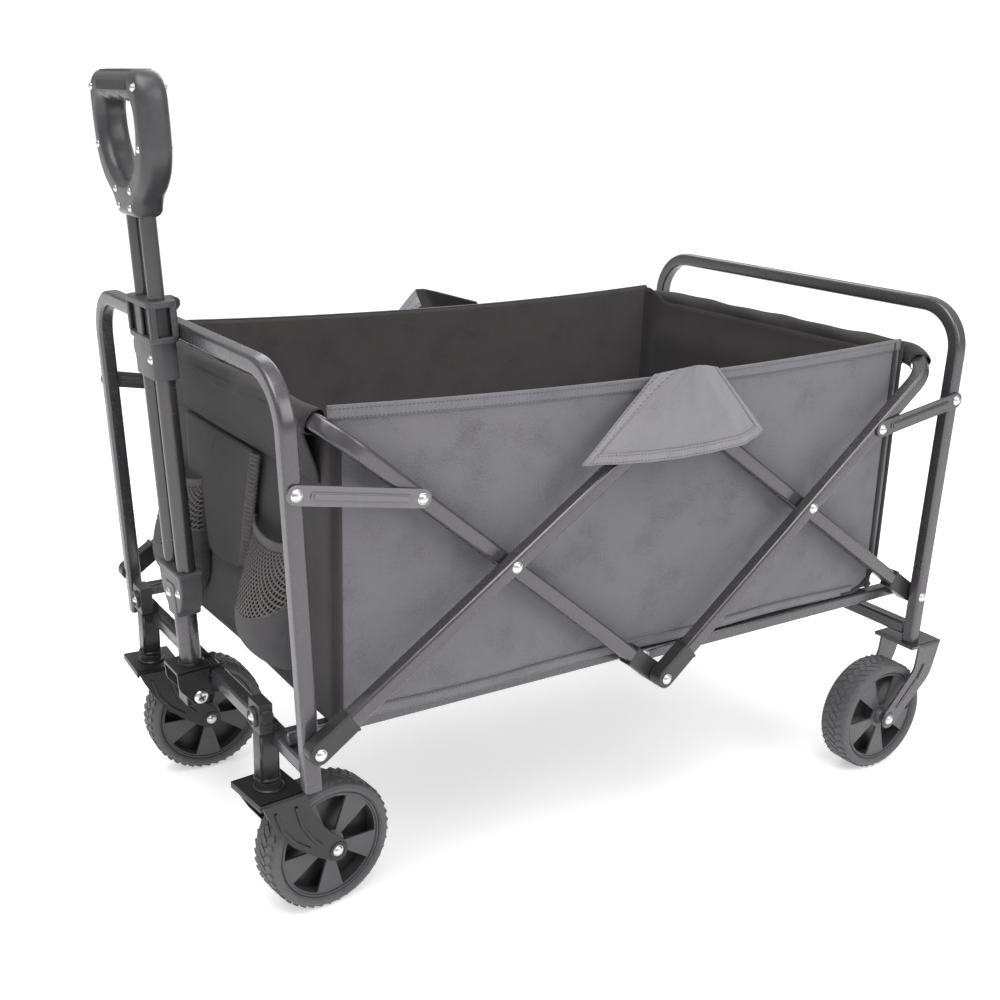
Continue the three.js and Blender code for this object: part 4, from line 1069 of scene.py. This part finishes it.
lever = [(-0.009, 0.346, 0.002), (0.006, 0.346, 0.002), (0.009, 0.352, 0.003), (0.009, 0.366, 0.003),
         (0.004, 0.371, 0.002), (-0.009, 0.371, 0.002)]
lever_mesh = slab(bmesh.new(), lever, 0.0062, standing(-0.0363))
finished("release_lever", lever_mesh, boot_plastic, "handle", ["clip_lever"], ease=0.0014, place=UP_HANDLE)

# ---- Grip ----
# The D-shaped grip is two moulded halves riveted together, round in section. Its top bar has fine
# cross ribs, and the upper edge of its opening is waved for the fingers.
GRIP_HALF, GRIP_FLAT, GRIP_ROUND = 0.0145, 0.0045, 0.008
ROUND_STEPS = 5
GRIP_RIBS, RIBS_FROM, RIB_PITCH = 34, -0.0412, 0.0025
grip_plastic = coated("grip_moulding", (0.046, 0.044, 0.047), 0.33, grain=520, depth=0.12)
outer = [(0.026, 0.485, 0.006), (0.031, 0.5, 0.009), (0.052, 0.512, 0.012), (0.068, 0.535, 0.013),
         (0.0705, 0.572, 0.016), (0.069, 0.6, 0.009), (0.056, 0.614, 0.008)]
hole = [(0.012, 0.5195, 0.006), (0.034, 0.533, 0.01), (0.047, 0.556, 0.01), (0.0475, 0.578, 0.006),
        (0.041, 0.588, 0.004), (0.026, 0.5862, 0.004), (0.013, 0.5892, 0.004)]


def loop_of(bm, half_outline, last):
    """The edge loop of a rounded outline, given by its right half, standing across the handle."""
    before = set(bm.edges)
    outline = half_outline + last + [(-y, z, rounding) for y, z, rounding in reversed(half_outline)]
    corners = [bm.verts.new((0, y, z)) for y, z, _ in outline]
    bm.faces.new(corners)
    for corner, (_, _, rounding) in zip(corners, outline):
        bmesh.ops.bevel(bm, geom=[corner], offset=rounding, segments=4, profile=0.5, affect="VERTICES",
                        material=-1)
    face = next(item for item in bm.faces if all(edge not in before for edge in item.edges))
    edges = list(face.edges)
    bmesh.ops.delete(bm, geom=[face], context="FACES_ONLY")
    return edges


grip_mesh = bmesh.new()
rings = loop_of(grip_mesh, outer, []) + loop_of(grip_mesh, hole, [(0.0, 0.5868, 0.004)])
bmesh.ops.triangle_fill(grip_mesh, use_beauty=True, edges=rings, normal=(1, 0, 0))
bmesh.ops.recalc_face_normals(grip_mesh, faces=grip_mesh.faces)
front_faces = list(grip_mesh.faces)
if front_faces[0].normal.x < 0:
    bmesh.ops.reverse_faces(grip_mesh, faces=front_faces)
lifts = [(0.0002, GRIP_FLAT)]
for step in range(ROUND_STEPS):
    low_angle, high_angle = (pi / 2 * (step + k) / ROUND_STEPS for k in (0, 1))
    lifts.append((GRIP_ROUND * (cos(low_angle) - cos(high_angle)),
                  (GRIP_HALF - GRIP_FLAT) * (sin(high_angle) - sin(low_angle))))
for narrower, higher in lifts:
    bmesh.ops.inset_region(grip_mesh, faces=front_faces, thickness=narrower, depth=higher,
                           use_even_offset=True, use_boundary=True)
bmesh.ops.mirror(grip_mesh, geom=grip_mesh.verts[:] + grip_mesh.edges[:] + grip_mesh.faces[:], axis="X",
                 merge_dist=1e-5)
bmesh.ops.remove_doubles(grip_mesh, verts=grip_mesh.verts, dist=1e-6)
finished("grip_shell", grip_mesh, grip_plastic, "handle_top", ["grip"], place=UP_HANDLE)

rib_mesh = bmesh.new()
for index in range(GRIP_RIBS):
    y = RIBS_FROM + index * RIB_PITCH
    block(rib_mesh, (-GRIP_HALF - 0.0006, y - 0.0007, 0.5968), (GRIP_HALF + 0.0006, y + 0.0007, 0.6055))
    block(rib_mesh, (-0.01, y - 0.0007, 0.6), (0.01, y + 0.0007, 0.6138))
finished("grip_ribs", rib_mesh, grip_plastic, "handle_top", ease=0.0004, place=UP_HANDLE)

grip_spots = ((0.0585, 0.599), (0.057, 0.548), (0.02, 0.51), (0.016, 0.495))
rivets("grip_rivets", "handle_top", [((face * (GRIP_HALF - 0.0012), sign * y, z), (face, 0, 0))
                                     for y, z in grip_spots for sign in (1, -1) for face in (1, -1)],
       r=0.0034, place=UP_HANDLE)
rivets("handle_rivets", "handle", [(at, (1, 0, 0)) for at in (
    (0.0118, 0.0215, 0.118), (0.0129, -0.004, 0.112), (0.0122, 0.02, 0.356))], r=0.0038, place=UP_HANDLE)
